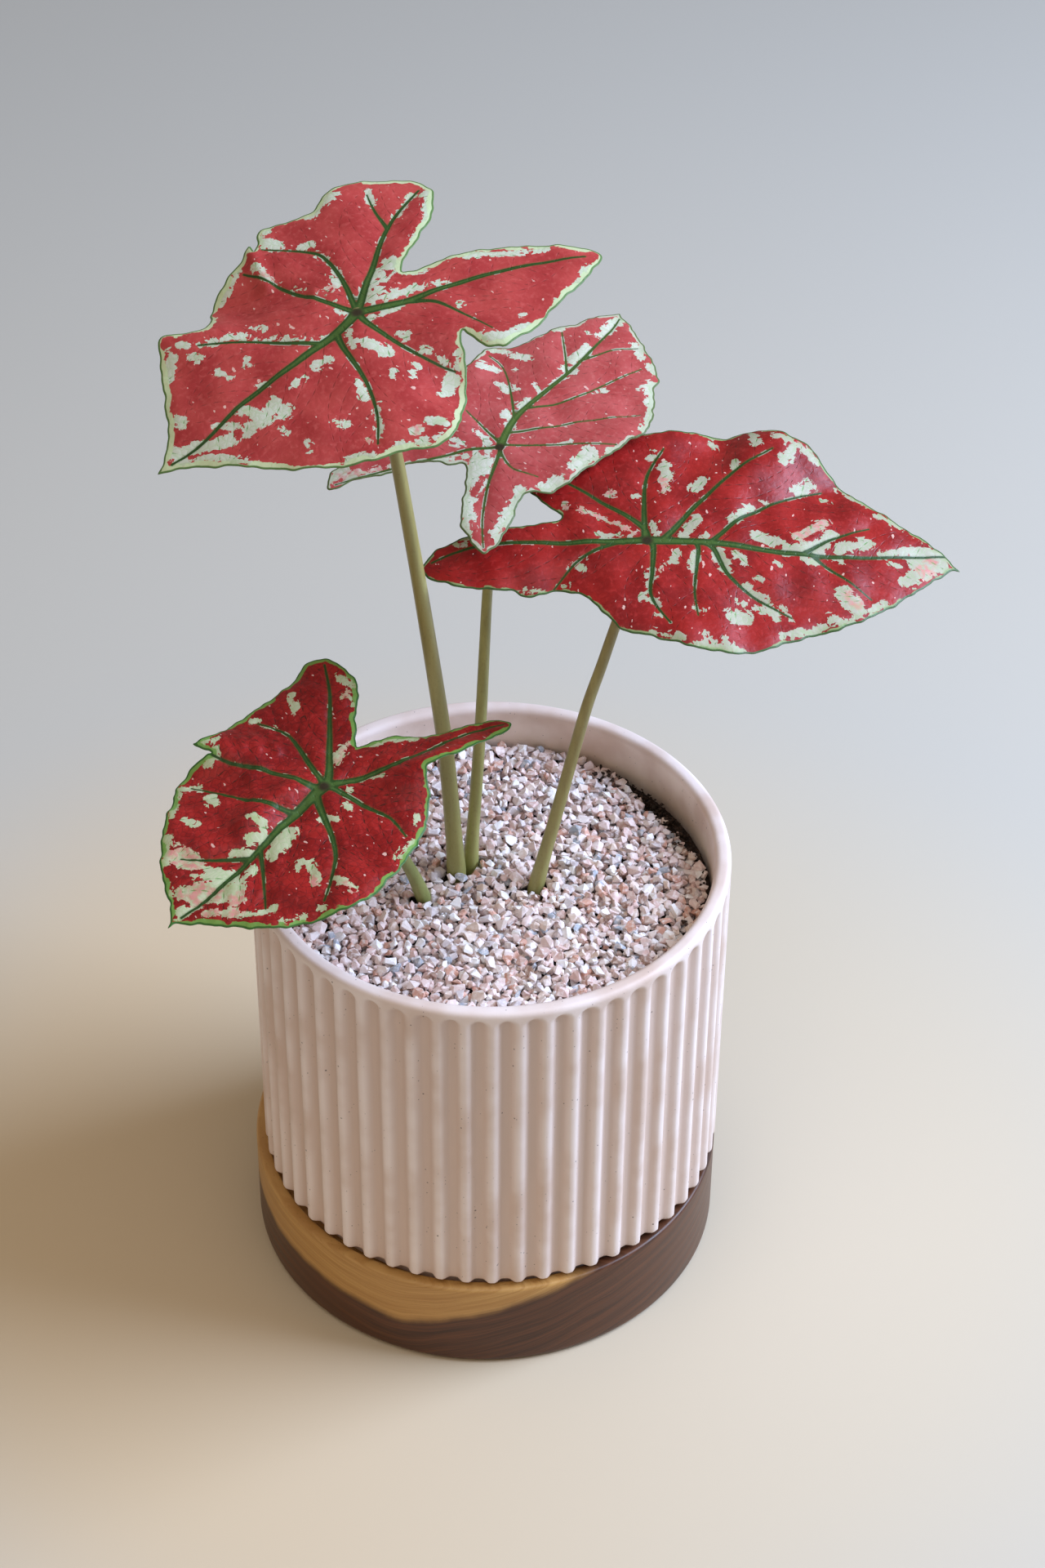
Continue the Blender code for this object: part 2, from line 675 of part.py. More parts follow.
def main():
    clear_scene()
    parts = make_collection("potted_caladium")
    cutters = make_collection("cutters")
    wood = make_material("acacia wood", (0.20, 0.09, 0.045), 0.4)
    ceramic = make_material("blush ceramic", (0.62, 0.46, 0.40), 0.55)
    soil = make_material("potting mix", (0.05, 0.035, 0.025), 0.95)
    flesh = make_material("tuber skin", (0.16, 0.10, 0.06), 0.8)
    stone = make_material("pink grit", (0.55, 0.38, 0.34), 0.7)
    green = make_material("leaf stalk", (0.22, 0.24, 0.07), 0.45)
    red = make_material("red blade", (0.45, 0.03, 0.04), 0.4)

    root = add_object("potted_caladium_root", None, parts)
    made = [make_wood_base(parts, wood), make_pot(parts, cutters, ceramic)]
    made.append(make_tuber(parts, flesh))
    holes = [make_stem_hole(leaf, cutters) for leaf in LEAVES]
    made.append(make_potting_mix(parts, cutters, holes, soil))
    made.append(make_grit(parts, holes, stone))
    for leaf in LEAVES:
        made.append(make_stalk(leaf, parts, green))
        made.append(make_blade(leaf, parts, red))
    for obj in made:
        obj.parent = root


main()
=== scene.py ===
"""Looks of the potted caladium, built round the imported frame.

Every piece is made at its place in the frame, so its object stays at the origin.
Lengths are millimetres unless a name says otherwise, and MM turns them into metres.
A leaf is planned flat: the first number of a point runs along the midrib from the top
of the stalk, and the second runs across to the leaf's own left.
"""

import json
import logging
import math
import random
from collections.abc import Callable
from dataclasses import dataclass, field
from enum import Enum

import bmesh
import bpy
import numpy as np
from mathutils import Matrix, Vector, geometry

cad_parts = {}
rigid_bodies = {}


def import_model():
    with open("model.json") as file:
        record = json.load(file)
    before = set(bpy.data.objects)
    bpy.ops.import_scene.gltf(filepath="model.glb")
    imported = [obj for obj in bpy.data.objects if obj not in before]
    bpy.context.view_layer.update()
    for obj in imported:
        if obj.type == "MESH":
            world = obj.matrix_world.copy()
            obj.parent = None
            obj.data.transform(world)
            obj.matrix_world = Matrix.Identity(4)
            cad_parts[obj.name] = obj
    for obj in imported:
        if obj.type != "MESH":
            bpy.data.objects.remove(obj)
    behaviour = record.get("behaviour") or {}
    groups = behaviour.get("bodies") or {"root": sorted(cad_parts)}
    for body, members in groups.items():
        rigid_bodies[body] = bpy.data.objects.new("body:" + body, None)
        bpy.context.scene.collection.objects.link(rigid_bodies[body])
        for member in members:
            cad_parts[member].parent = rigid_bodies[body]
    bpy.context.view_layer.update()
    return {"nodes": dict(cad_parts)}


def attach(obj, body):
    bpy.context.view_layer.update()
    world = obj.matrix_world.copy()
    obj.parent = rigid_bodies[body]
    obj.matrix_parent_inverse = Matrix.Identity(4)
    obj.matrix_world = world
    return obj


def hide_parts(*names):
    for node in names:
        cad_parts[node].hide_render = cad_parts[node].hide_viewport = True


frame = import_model()

log = logging.getLogger("caladium")

MM = 0.001
FIELD_CHUNK = 4000

Point = tuple[float, float]
Place = tuple[float, float, float]
Colour = tuple[int, int, int]


class Slot(Enum):
    """The record's material slots."""

    WOOD = "acacia_wood"
    CERAMIC = "blush_ceramic"
    MIX = "potting_mix"
    TUBER = "tuber_skin"
    GRIT = "pink_grit"
    STALK = "leaf_stalk"
    BLADE = "leaf_blade"


def tone(colour: Colour) -> tuple[float, float, float, float]:
    """Turns a colour of 0 to 255 as seen on screen into the linear one that nodes take.

    Args:
        colour: Red, green and blue, each 0 to 255.

    Returns:
        Linear red, green, blue and an alpha of one.
    """
    shares = [value / 255 for value in colour]
    red, green, blue = (
        share / 12.92 if share <= 0.04045 else ((share + 0.055) / 1.055) ** 2.4
        for share in shares
    )
    return red, green, blue, 1.0


class Board:
    """A node tree that is filled by short calls, one for each kind of node."""

    def __init__(self, tree: bpy.types.NodeTree) -> None:
        """Keeps the tree that the nodes go into."""
        self.tree = tree

    def feed(self, socket: bpy.types.NodeSocket, value: object) -> None:
        """Links a socket to another, or sets its plain value.

        Args:
            socket: The input to feed.
            value: A socket to link from, or a number, colour or vector.
        """
        if isinstance(value, bpy.types.NodeSocket):
            self.tree.links.new(value, socket)
        else:
            socket.default_value = value

    def add(self, kind: str, inputs: dict | None = None, **settings: object) -> bpy.types.Node:
        """Adds a node.

        Args:
            kind: Blender's name for the node's type.
            inputs: Values or sockets by the input's name or number.
            **settings: The node's own options.

        Returns:
            The new node.
        """
        node = self.tree.nodes.new(kind)
        for name, value in settings.items():
            setattr(node, name, value)
        for key, value in (inputs or {}).items():
            self.feed(node.inputs[key], value)
        return node

    def math(self, operation: str, *values: object) -> bpy.types.NodeSocket:
        """Result of a Math node on one to three values."""
        return self.add("ShaderNodeMath", dict(enumerate(values)), operation=operation).outputs[0]

    def times(self, first: object, second: object) -> bpy.types.NodeSocket:
        """Product of two values."""
        return self.math("MULTIPLY", first, second)

    def plus(self, first: object, second: object) -> bpy.types.NodeSocket:
        """Sum of two values."""
        return self.math("ADD", first, second)

    def vector(self, operation: str, *values: object) -> bpy.types.NodeSocket:
        """Vector result of a Vector Math node."""
        node = self.add("ShaderNodeVectorMath", dict(enumerate(values)), operation=operation)
        return node.outputs[0]

    def stretch(self, source: object, scale: Place) -> bpy.types.NodeSocket:
        """The source vector with each axis scaled."""
        return self.vector("MULTIPLY", source, scale)

    def ease(self, value: object, low: object, high: object) -> bpy.types.NodeSocket:
        """Smooth step from 0 at low to 1 at high."""
        inputs = {"Value": value, "From Min": low, "From Max": high}
        node = self.add("ShaderNodeMapRange", inputs, interpolation_type="SMOOTHSTEP")
        return node.outputs[0]

    def mix(self, share: object, first: object, second: object) -> bpy.types.NodeSocket:
        """Colour between two colours."""
        inputs = {0: share, 6: first, 7: second}
        return self.add("ShaderNodeMix", inputs, data_type="RGBA").outputs[2]

    def noise(self, source: object, scale: float, detail: float = 2.0) -> bpy.types.NodeSocket:
        """Noise of about 0.2 to 0.8 with the given waves to a unit of the source."""
        inputs = {"Vector": source, "Scale": scale, "Detail": detail}
        return self.add("ShaderNodeTexNoise", inputs).outputs["Fac"]

    def cells(self, source: object, scale: float, feature: str = "F1") -> bpy.types.Node:
        """A Voronoi node with the given cells to a unit of the source."""
        inputs = {"Vector": source, "Scale": scale}
        return self.add("ShaderNodeTexVoronoi", inputs, feature=feature)

    def cell_draw(self, source: object, scale: float) -> bpy.types.NodeSocket:
        """A random number from 0 to 1 for each Voronoi cell."""
        colour = self.cells(source, scale).outputs["Color"]
        return self.add("ShaderNodeSeparateColor", {"Color": colour}).outputs[0]

    def ramp(self, share: object, stops: tuple, sudden: bool = False) -> bpy.types.NodeSocket:
        """Colour read off a ramp.

        Args:
            share: Place on the ramp, 0 to 1.
            stops: Pairs of place and colour, in order.
            sudden: Whether each colour holds until the next stop.

        Returns:
            The colour socket.
        """
        node = self.add("ShaderNodeValToRGB", {"Fac": share})
        node.color_ramp.interpolation = "CONSTANT" if sudden else "LINEAR"
        elements = node.color_ramp.elements
        while len(elements) > 1:
            elements.remove(elements[-1])
        elements[0].position, elements[0].color = stops[0][0], tone(stops[0][1])
        for place, colour in stops[1:]:
            elements.new(place).color = tone(colour)
        return node.outputs["Color"]

    def read(self, name: str, output: str = "Fac") -> bpy.types.NodeSocket:
        """One of the mesh's own attributes."""
        return self.add("ShaderNodeAttribute", attribute_name=name).outputs[output]

    def split(self, source: object) -> bpy.types.bpy_prop_collection:
        """The three parts of a vector."""
        return self.add("ShaderNodeSeparateXYZ", {0: source}).outputs

    def join(self, x: object, y: object, z: object) -> bpy.types.NodeSocket:
        """A vector of three parts."""
        return self.add("ShaderNodeCombineXYZ", {0: x, 1: y, 2: z}).outputs[0]

    def place(self) -> bpy.types.NodeSocket:
        """Object coordinates in metres."""
        return self.add("ShaderNodeTexCoord").outputs["Object"]

    def spot(self) -> bpy.types.NodeSocket:
        """Object coordinates in millimetres."""
        return self.stretch(self.place(), (1000.0, 1000.0, 1000.0))


class Paint(Board):
    """The node tree of one surface."""

    def __init__(self, name: str) -> None:
        """Makes a material with a bare shader."""
        self.material = bpy.data.materials.new(name)
        self.material.use_nodes = True
        super().__init__(self.material.node_tree)
        self.shader = self.tree.nodes["Principled BSDF"]

    def finish(
        self, colour: object, rough: object, relief: object | None = None, **fixed: object
    ) -> bpy.types.Material:
        """Feeds the shader.

        Args:
            colour: Base colour.
            rough: Roughness.
            relief: Height of the fine relief in millimetres, or None.
            **fixed: Other inputs of the shader, with underscores for spaces.

        Returns:
            The finished material.
        """
        self.feed(self.shader.inputs["Base Color"], colour)
        self.feed(self.shader.inputs["Roughness"], rough)
        for name, value in fixed.items():
            self.shader.inputs[name.replace("_", " ")].default_value = value
        if relief is not None:
            bump = self.add("ShaderNodeBump", {"Height": relief, "Distance": MM})
            self.feed(self.shader.inputs["Normal"], bump.outputs["Normal"])
        return self.material


@dataclass(frozen=True)
class WoodFinish:
    """Oiled acacia with golden sapwood over dark heartwood."""

    sap_light: Colour = (196, 152, 90)
    sap_deep: Colour = (172, 125, 66)
    heart_light: Colour = (98, 58, 35)
    heart_deep: Colour = (58, 32, 18)
    edge_softness: float = 2.0

    def material(self) -> bpy.types.Material:
        """Material that reads the mesh's sapwood height."""
        paint = Paint("oiled acacia")
        x, y, z = paint.split(paint.spot())
        sap = paint.read("sap")
        broad = paint.noise(paint.join(x, y, paint.times(sap, 1.6)), 0.03, 3.0)
        drift = paint.math("MULTIPLY_ADD", broad, 5.0, -2.5)
        bent = paint.plus(sap, drift)
        rings = paint.math("SINE", paint.times(bent, 1.3))
        ring_share = paint.ease(rings, -1.0, 1.0)
        fibre = paint.noise(
            paint.join(
                paint.times(x, 0.05),
                paint.times(y, 0.05),
                paint.times(bent, 1.9),
            ),
            1.0, 5.0,
        )
        streak = paint.ease(fibre, 0.32, 0.68)
        dull = paint.math("MULTIPLY_ADD", ring_share, 0.3, paint.times(streak, 0.7))
        golden = paint.mix(dull, tone(self.sap_deep), tone(self.sap_light))
        dark = paint.mix(dull, tone(self.heart_deep), tone(self.heart_light))
        wander = paint.math("MULTIPLY_ADD", paint.noise(paint.join(x, y, z), 0.09, 3.0), 3.4, -1.7)
        border = paint.plus(sap, wander)
        share = paint.ease(border, -self.edge_softness, self.edge_softness)
        colour = paint.mix(share, dark, golden)
        pores = paint.ease(paint.cells(paint.join(x, y, paint.times(bent, 4.0)), 0.6)
                           .outputs["Distance"], 0.05, 0.22)
        colour = paint.mix(paint.math("MULTIPLY_ADD", pores, 0.25, 0.75),
                           tone(self.heart_deep), colour)
        rough = paint.math("MULTIPLY_ADD", streak, 0.12, 0.36)
        relief = paint.times(fibre, 0.012)
        return paint.finish(colour, rough, relief, Specular_IOR_Level=0.35, Coat_Weight=0.15,
                            Coat_Roughness=0.3)


@dataclass(frozen=True)
class CeramicFinish:
    """Matte blush glaze with fine dark specks, darker and browner in the hollows: partly the
    glaze's own colour pooled there and partly painted shade.
    """

    ridge: Colour = (238, 223, 217)
    # Hollow colour: partly the glaze pooled in the flutes and partly painted shade of the recesses.
    hollow: Colour = (208, 184, 170)
    # Bore colour: the same glaze painted lighter than outside, as painted light for the shaded
    # inside of the pot.
    bore: Colour = (246, 232, 222)
    speck: Colour = (74, 62, 58)

    def specks(self, paint: Paint, spot: object, scale: float, keep: float, size: float) -> object:
        """Mask of round specks.

        Args:
            paint: The tree to add to.
            spot: Coordinates in millimetres.
            scale: Cells to a millimetre.
            keep: Share of the cells that hold a speck.
            size: Radius of the largest speck, in millimetres.

        Returns:
            A socket that is 1 on a speck.
        """
        cell = paint.cells(spot, scale)
        draws = paint.add("ShaderNodeSeparateColor", {"Color": cell.outputs["Color"]}).outputs
        away = paint.math("DIVIDE", cell.outputs["Distance"], scale)
        radius = paint.math("MULTIPLY_ADD", draws[1], size * 0.6, size * 0.4)
        inside = paint.math("SUBTRACT", radius, away)
        held = paint.math("LESS_THAN", draws[0], keep)
        return paint.times(paint.ease(inside, -0.03, 0.08), held)

    def material(self) -> bpy.types.Material:
        """Material that reads where the mesh is hollow and where it is bore."""
        paint = Paint("blush glaze")
        spot = paint.spot()
        cloud = paint.noise(spot, 0.05, 3.0)
        fine = paint.noise(spot, 1.6, 3.0)
        # Painted shade: the flute hollows take the darker, browner colour, partly the glaze's own
        # and partly the shade of the recess.
        hollow = paint.times(paint.read("hollow"), 0.95)
        colour = paint.mix(hollow, tone(self.ridge), tone(self.hollow))
        # Painted light: the bore takes a colour lighter than the outer glaze to brighten the pot's
        # shaded inside.
        colour = paint.mix(paint.read("bore"), colour, tone(self.bore))
        colour = paint.mix(paint.ease(cloud, 0.35, 0.75), colour, tone((214, 190, 176)))
        large = self.specks(paint, spot, 0.30, 0.32, 0.34)
        small = self.specks(paint, spot, 0.62, 0.40, 0.22)
        mark = paint.math("MAXIMUM", large, paint.times(small, 0.8))
        colour = paint.mix(paint.times(mark, 0.8), colour, tone(self.speck))
        rough = paint.math("MULTIPLY_ADD", fine, 0.16, 0.42)
        relief = paint.math("MULTIPLY_ADD", cloud, 0.25, paint.times(fine, 0.025))
        return paint.finish(colour, rough, relief)


@dataclass(frozen=True)
class StoneFinish:
    """Crushed pink granite: each stone draws one of these colours."""

    kinds: tuple = (
        (0.00, (228, 205, 200)), (0.20, (236, 222, 219)), (0.38, (245, 243, 243)),
        (0.52, (218, 186, 178)), (0.66, (214, 164, 145)), (0.73, (206, 195, 196)),
        (0.83, (230, 210, 198)), (0.92, (168, 176, 188)), (0.97, (170, 138, 124)),
    )
    grain: Colour = (120, 98, 92)

    def material(self) -> bpy.types.Material:
        """Material that reads the draw of each stone."""
        paint = Paint("crushed pink granite")
        spot = paint.spot()
        colour = paint.ramp(paint.read("tint"), self.kinds, sudden=True)
        mottle = paint.noise(spot, 0.9, 4.0)
        colour = paint.mix(paint.ease(mottle, 0.42, 0.78), colour, tone((244, 234, 230)))
        grains = paint.ease(paint.noise(spot, 2.6, 3.0), 0.60, 0.72)
        colour = paint.mix(paint.times(grains, 0.16), colour, tone(self.grain))
        relief = paint.times(paint.noise(spot, 1.5, 4.0), 0.12)
        return paint.finish(colour, 0.62, relief)


@dataclass(frozen=True)
class SoilFinish:
    """Dark potting mix of peat and bark."""

    name: str = "potting mix"
    dark: Colour = (26, 19, 15)
    light: Colour = (74, 54, 40)

    def material(self) -> bpy.types.Material:
        """Crumbly dark brown material."""
        paint = Paint(self.name)
        spot = paint.spot()
        crumbs = paint.noise(spot, 0.8, 6.0)
        colour = paint.mix(paint.ease(crumbs, 0.35, 0.75), tone(self.dark), tone(self.light))
        lumps = paint.cells(spot, 0.5).outputs["Distance"]
        relief = paint.math("MULTIPLY_ADD", lumps, 0.6, crumbs)
        return paint.finish(colour, 0.9, relief)


@dataclass(frozen=True)
class TuberFinish:
    """Scaly brown skin of the tuber."""

    dark: Colour = (70, 48, 34)
    light: Colour = (132, 100, 74)

    def material(self) -> bpy.types.Material:
        """Ringed brown material."""
        paint = Paint("tuber skin")
        spot = paint.spot()
        rings = paint.noise(paint.stretch(spot, (0.2, 0.2, 1.4)), 0.6, 4.0)
        colour = paint.mix(paint.ease(rings, 0.3, 0.7), tone(self.dark), tone(self.light))
        return paint.finish(colour, 0.75, paint.times(rings, 0.8))


@dataclass(frozen=True)
class StalkFinish:
    """Olive stalk skin with fine lengthwise flecks."""

    name: str
    light: Colour
    deep: Colour

    def material(self) -> bpy.types.Material:
        """Material that reads how far up the stalk it is."""
        paint = Paint(self.name)
        spot = paint.spot()
        streak = paint.noise(paint.stretch(spot, (0.7, 0.7, 0.05)), 0.7, 2.0)
        fleck = paint.noise(paint.stretch(spot, (1.0, 1.0, 0.5)), 2.0, 3.0)
        colour = paint.mix(paint.ease(streak, 0.2, 0.8), tone(self.deep), tone(self.light))
        climb = paint.read("climb")
        green = paint.times(paint.ease(climb, 0.55, 0.05), 0.55)
        colour = paint.mix(green, colour, tone((158, 162, 96)))
        brown = paint.times(paint.ease(fleck, 0.52, 0.72), 0.22)
        colour = paint.mix(brown, colour, tone((116, 98, 62)))
        tip = paint.times(paint.ease(climb, 0.80, 1.0), 0.5)
        colour = paint.mix(tip, colour, tone((112, 98, 62)))
        relief = paint.times(streak, 0.04)
        return paint.finish(colour, 0.42, relief)


@dataclass(frozen=True)
class BladeFinish:
    """Red and cream leaf skin with green ribs.

    The red runs through three tones. The cream field of the mesh says how far inside a
    cream patch a point is, and cells of the leaf's own net make its edge ragged. A pale
    band runs inside the dark rim, as deep as band says, and outline is the share of the
    ribs' length that has a cream line on either side.
    """

    name: str
    red: Colour
    red_deep: Colour
    red_light: Colour
    cream: Colour = (193, 197, 178)
    cream_green: Colour = (170, 184, 138)
    blush: Colour = (206, 126, 122)
    rib: Colour = (38, 68, 24)
    rib_light: Colour = (66, 94, 40)
    rib_dark: Colour = (48, 40, 24)
    rim: Colour = (46, 84, 36)
    band_colour: Colour = (190, 205, 160)
    band: tuple = (0.5, 1.5)
    outline: float = 0.2
    net_depth: float = 0.05
    side_depth: float = 0.35
    ragged: float = 1.5

    def flecks(self, paint: Paint, plan: object) -> object:
        """Mask of small pale flecks, longer across the leaf."""
        masks = []
        for scale, keep, size in ((0.36, 0.14, 0.26), (0.8, 0.12, 0.34)):
            cell = paint.cells(paint.stretch(plan, (1.6, 0.8, 0.0)), scale)
            draws = paint.add("ShaderNodeSeparateColor", {"Color": cell.outputs["Color"]}).outputs
            radius = paint.times(draws[1], size)
            inside = paint.math("SUBTRACT", radius, cell.outputs["Distance"])
            held = paint.math("LESS_THAN", draws[0], keep)
            masks.append(paint.times(paint.ease(inside, 0.0, 0.05), held))
        return paint.math("MAXIMUM", *masks)

    def blend(self, paint: Paint, share: object, weight: float, under: object,
              colour: Colour) -> bpy.types.NodeSocket:
        """Lays a colour over another with a mask and a weight."""
        return paint.mix(paint.times(share, weight), under, tone(colour))

    def material(self) -> bpy.types.Material:
        """Material that reads the mesh's plan and its vein, edge and patch fields."""
        paint = Paint(self.name)
        along, across, under = paint.split(paint.read("plan", "Vector"))
        flat = paint.join(along, across, 0.0)
        wobble = paint.add("ShaderNodeTexNoise", {"Vector": flat, "Scale": 0.55, "Detail": 3.0})
        shift = paint.vector("MULTIPLY_ADD", wobble.outputs["Color"], (1.6, 1.6, 0.0),
                             (-0.8, -0.8, 0.0))
        plan = paint.vector("ADD", flat, shift)
        edge = paint.read("edge")
        mottle = paint.noise(plan, 0.7, 3.0)
        net = paint.cells(plan, 0.55, "DISTANCE_TO_EDGE").outputs["Distance"]
        net_line = paint.ease(net, 0.085, 0.01)
        side = paint.ease(paint.read("side"), -0.16, 0.05)
        big = paint.math("MULTIPLY_ADD", paint.cell_draw(plan, 0.58), self.ragged,
                         -0.5 * self.ragged)
        small = paint.math("MULTIPLY_ADD", paint.cell_draw(plan, 1.9), 0.5, -0.25)

        share = paint.ease(paint.noise(flat, 0.09, 4.0), 0.36, 0.64)
        red = paint.mix(share, tone(self.red_deep), tone(self.red))
        red = self.blend(paint, paint.ease(mottle, 0.48, 0.78), 0.55, red, self.red_light)
        red = self.blend(paint, net_line, self.net_depth, red, (84, 14, 18))
        red = self.blend(paint, side, self.side_depth, red, (70, 24, 16))
        red = self.blend(paint, self.flecks(paint, plan), 0.85, red, (224, 184, 170))

        wash = paint.math("MAXIMUM", paint.ease(edge, 2.2, 0.5),
                          paint.ease(paint.noise(flat, 0.14, 2.0), 0.55, 0.75))
        cream = self.blend(paint, wash, 0.6, tone(self.cream), self.cream_green)
        blush = paint.plus(paint.read("blush"), big)
        blotch = paint.times(paint.ease(blush, -0.8, 0.8),
                            paint.ease(paint.noise(plan, 0.5, 4.0), 0.35, 0.62))
        cream = self.blend(paint, blotch, 0.85, cream, self.blush)
        cream = self.blend(paint, net_line, 0.30, cream, (140, 178, 108))
        cream = self.blend(paint, side, 0.8, cream, (92, 142, 70))

        reach = paint.plus(paint.read("cream"), paint.plus(big, small))
        colour = paint.mix(paint.ease(reach, -0.06, 0.06), red, cream)
        band_noise = paint.ease(paint.noise(plan, 0.2, 3.0), 0.36, 0.60)
        band_depth = paint.math("MULTIPLY_ADD", band_noise, self.band[1] - self.band[0],
                                self.band[0])
        band = paint.ease(paint.math("SUBTRACT", band_depth, edge), -0.05, 0.2)
        colour = self.blend(paint, band, 0.92, colour, self.band_colour)

        rib_field = paint.plus(paint.read("rib"),
                               paint.math("MULTIPLY_ADD", mottle, 0.24, -0.12))
        lined = paint.times(paint.ease(rib_field, -0.34, -0.2),
                           paint.math("LESS_THAN", paint.cell_draw(plan, 0.45), self.outline))
        colour = self.blend(paint, lined, 0.9, colour, self.cream)
        halo = paint.ease(rib_field, -0.5, -0.05)
        colour = self.blend(paint, halo, 0.30, colour, (60, 96, 44))
        middle = paint.math("SQRT", paint.plus(paint.math("POWER", along, 2.0),
                                               paint.math("POWER", across, 2.0)))
        core = paint.ease(paint.read("rib"), 0.25, 0.8)
        rib = paint.mix(core, tone(self.rib), tone(self.rib_light))
        rib = paint.mix(paint.ease(middle, 2.3, 0.7), rib, tone(self.rib_dark))
        colour = paint.mix(paint.ease(rib_field, -0.13, 0.06), colour, rib)
        colour = paint.mix(paint.ease(edge, 0.50, 0.28), colour, tone(self.rim))
        pale = paint.mix(0.5, colour, tone((196, 176, 158)))
        colour = paint.mix(under, colour, pale)

        pillow = paint.ease(net, 0.0, 0.45)
        fine = paint.noise(plan, 2.4, 2.0)
        relief = paint.math("MULTIPLY_ADD", pillow, 0.035, paint.times(fine, 0.012))
        relief = paint.plus(relief, paint.times(side, -0.05))
        rough = paint.math("MULTIPLY_ADD", fine, 0.10, 0.36)
        return paint.finish(colour, rough, relief, Specular_IOR_Level=0.3)


class Stroke:
    """A brush stroke on the leaf's plan: a width and the points of its middle line."""

    def __init__(self, width: float, *points: Point) -> None:
        """Keeps the stroke.

        Args:
            width: Full width of the stroke.
            *points: Where its middle line runs.
        """
        self.half = width / 2
        self.points = points


class Vein:
    """A main vein: its width at the start and the end, and the points of its middle line."""

    def __init__(self, start: float, end: float, *points: Point) -> None:
        """Keeps the vein.

        Args:
            start: Width where it starts.
            end: Width where it ends.
            *points: Where it runs.
        """
        self.start = start
        self.end = end
        self.points = points


class Swell:
    """A soft ridge or bump of the blade: its height, its width and its middle line."""

    def __init__(self, height: float, width: float, *points: Point) -> None:
        """Keeps the swell.

        Args:
            height: Height above the blade, or depth below it where negative.
            width: How far it reaches to each side.
            *points: Where its middle line runs.
        """
        self.height = height
        self.width = width
        self.points = points


@dataclass(frozen=True)
class Pleat:
    """A fold that runs from the top of the stalk out to one point of the margin."""

    along: float
    across: float
    width: float
    height: float
    start: float = 0.25

    def rise(self, along: np.ndarray, across: np.ndarray) -> np.ndarray:
        """Height that this fold adds at points of the plan."""
        reach = math.hypot(self.along, self.across)
        outward = (along * self.along + across * self.across) / reach
        aside = (across * self.along - along * self.across) / reach
        share = np.clip((outward / reach - self.start) / (1 - self.start), 0, 1)
        eased = share * share * (3 - 2 * share)
        return self.height * eased * np.exp(-((aside / self.width) ** 2))


@dataclass(frozen=True)
class LeafPlan:
    """One leaf as part.py places it, with the veins and patches of its skin."""

    name: str
    seat: Place
    tilt: float
    tilt_heading: float
    midrib_heading: float
    tip_droop: float
    lobe_droop: float
    arch: float
    margin: tuple
    pleats: tuple
    stalk: tuple
    stalk_foot: Point
    foot_radius: float
    neck_radius: float
    veins: tuple
    cream: tuple
    blush: tuple
    islands: tuple
    blade_finish: BladeFinish
    stalk_finish: StalkFinish
    crinkle: float = 0.25
    quilt: tuple = ((0.45, 1.8), (0.04, 0.9))
    swells: tuple = ()
    seed: int = 1
    bend_length: float = 80.0

    def rise(self, along: np.ndarray, across: np.ndarray) -> np.ndarray:
        """Height of the bent blade above its flat plan."""
        droop = np.where(along > 0, self.tip_droop, self.lobe_droop)
        sag = (droop * along**2 + self.arch * across**2) / self.bend_length
        return sum(pleat.rise(along, across) for pleat in self.pleats) - sag

    def normal(self) -> Vector:
        """Direction that the blade's plan faces."""
        tilt = math.radians(self.tilt)
        heading = math.radians(self.tilt_heading)
        level = Vector((math.cos(heading), math.sin(heading), 0.0)) * math.sin(tilt)
        return level + Vector((0.0, 0.0, math.cos(tilt)))

    def turn(self) -> np.ndarray:
        """Matrix whose columns are the midrib, the leaf's left and its normal."""
        up = self.normal()
        heading = math.radians(self.midrib_heading)
        forward = Vector((math.cos(heading), math.sin(heading), 0.0))
        forward = (forward - up * forward.dot(up)).normalized()
        return np.array(Matrix((forward, up.cross(forward), up)).transposed())


DEEP_RED = {"red": (158, 31, 28), "red_deep": (128, 17, 16), "red_light": (184, 52, 50)}
ROSE_RED = {"red": (179, 66, 63), "red_deep": (160, 48, 48), "red_light": (197, 91, 86)}
PINK_RED = {"red": (185, 83, 81), "red_deep": (172, 66, 65), "red_light": (198, 112, 105)}

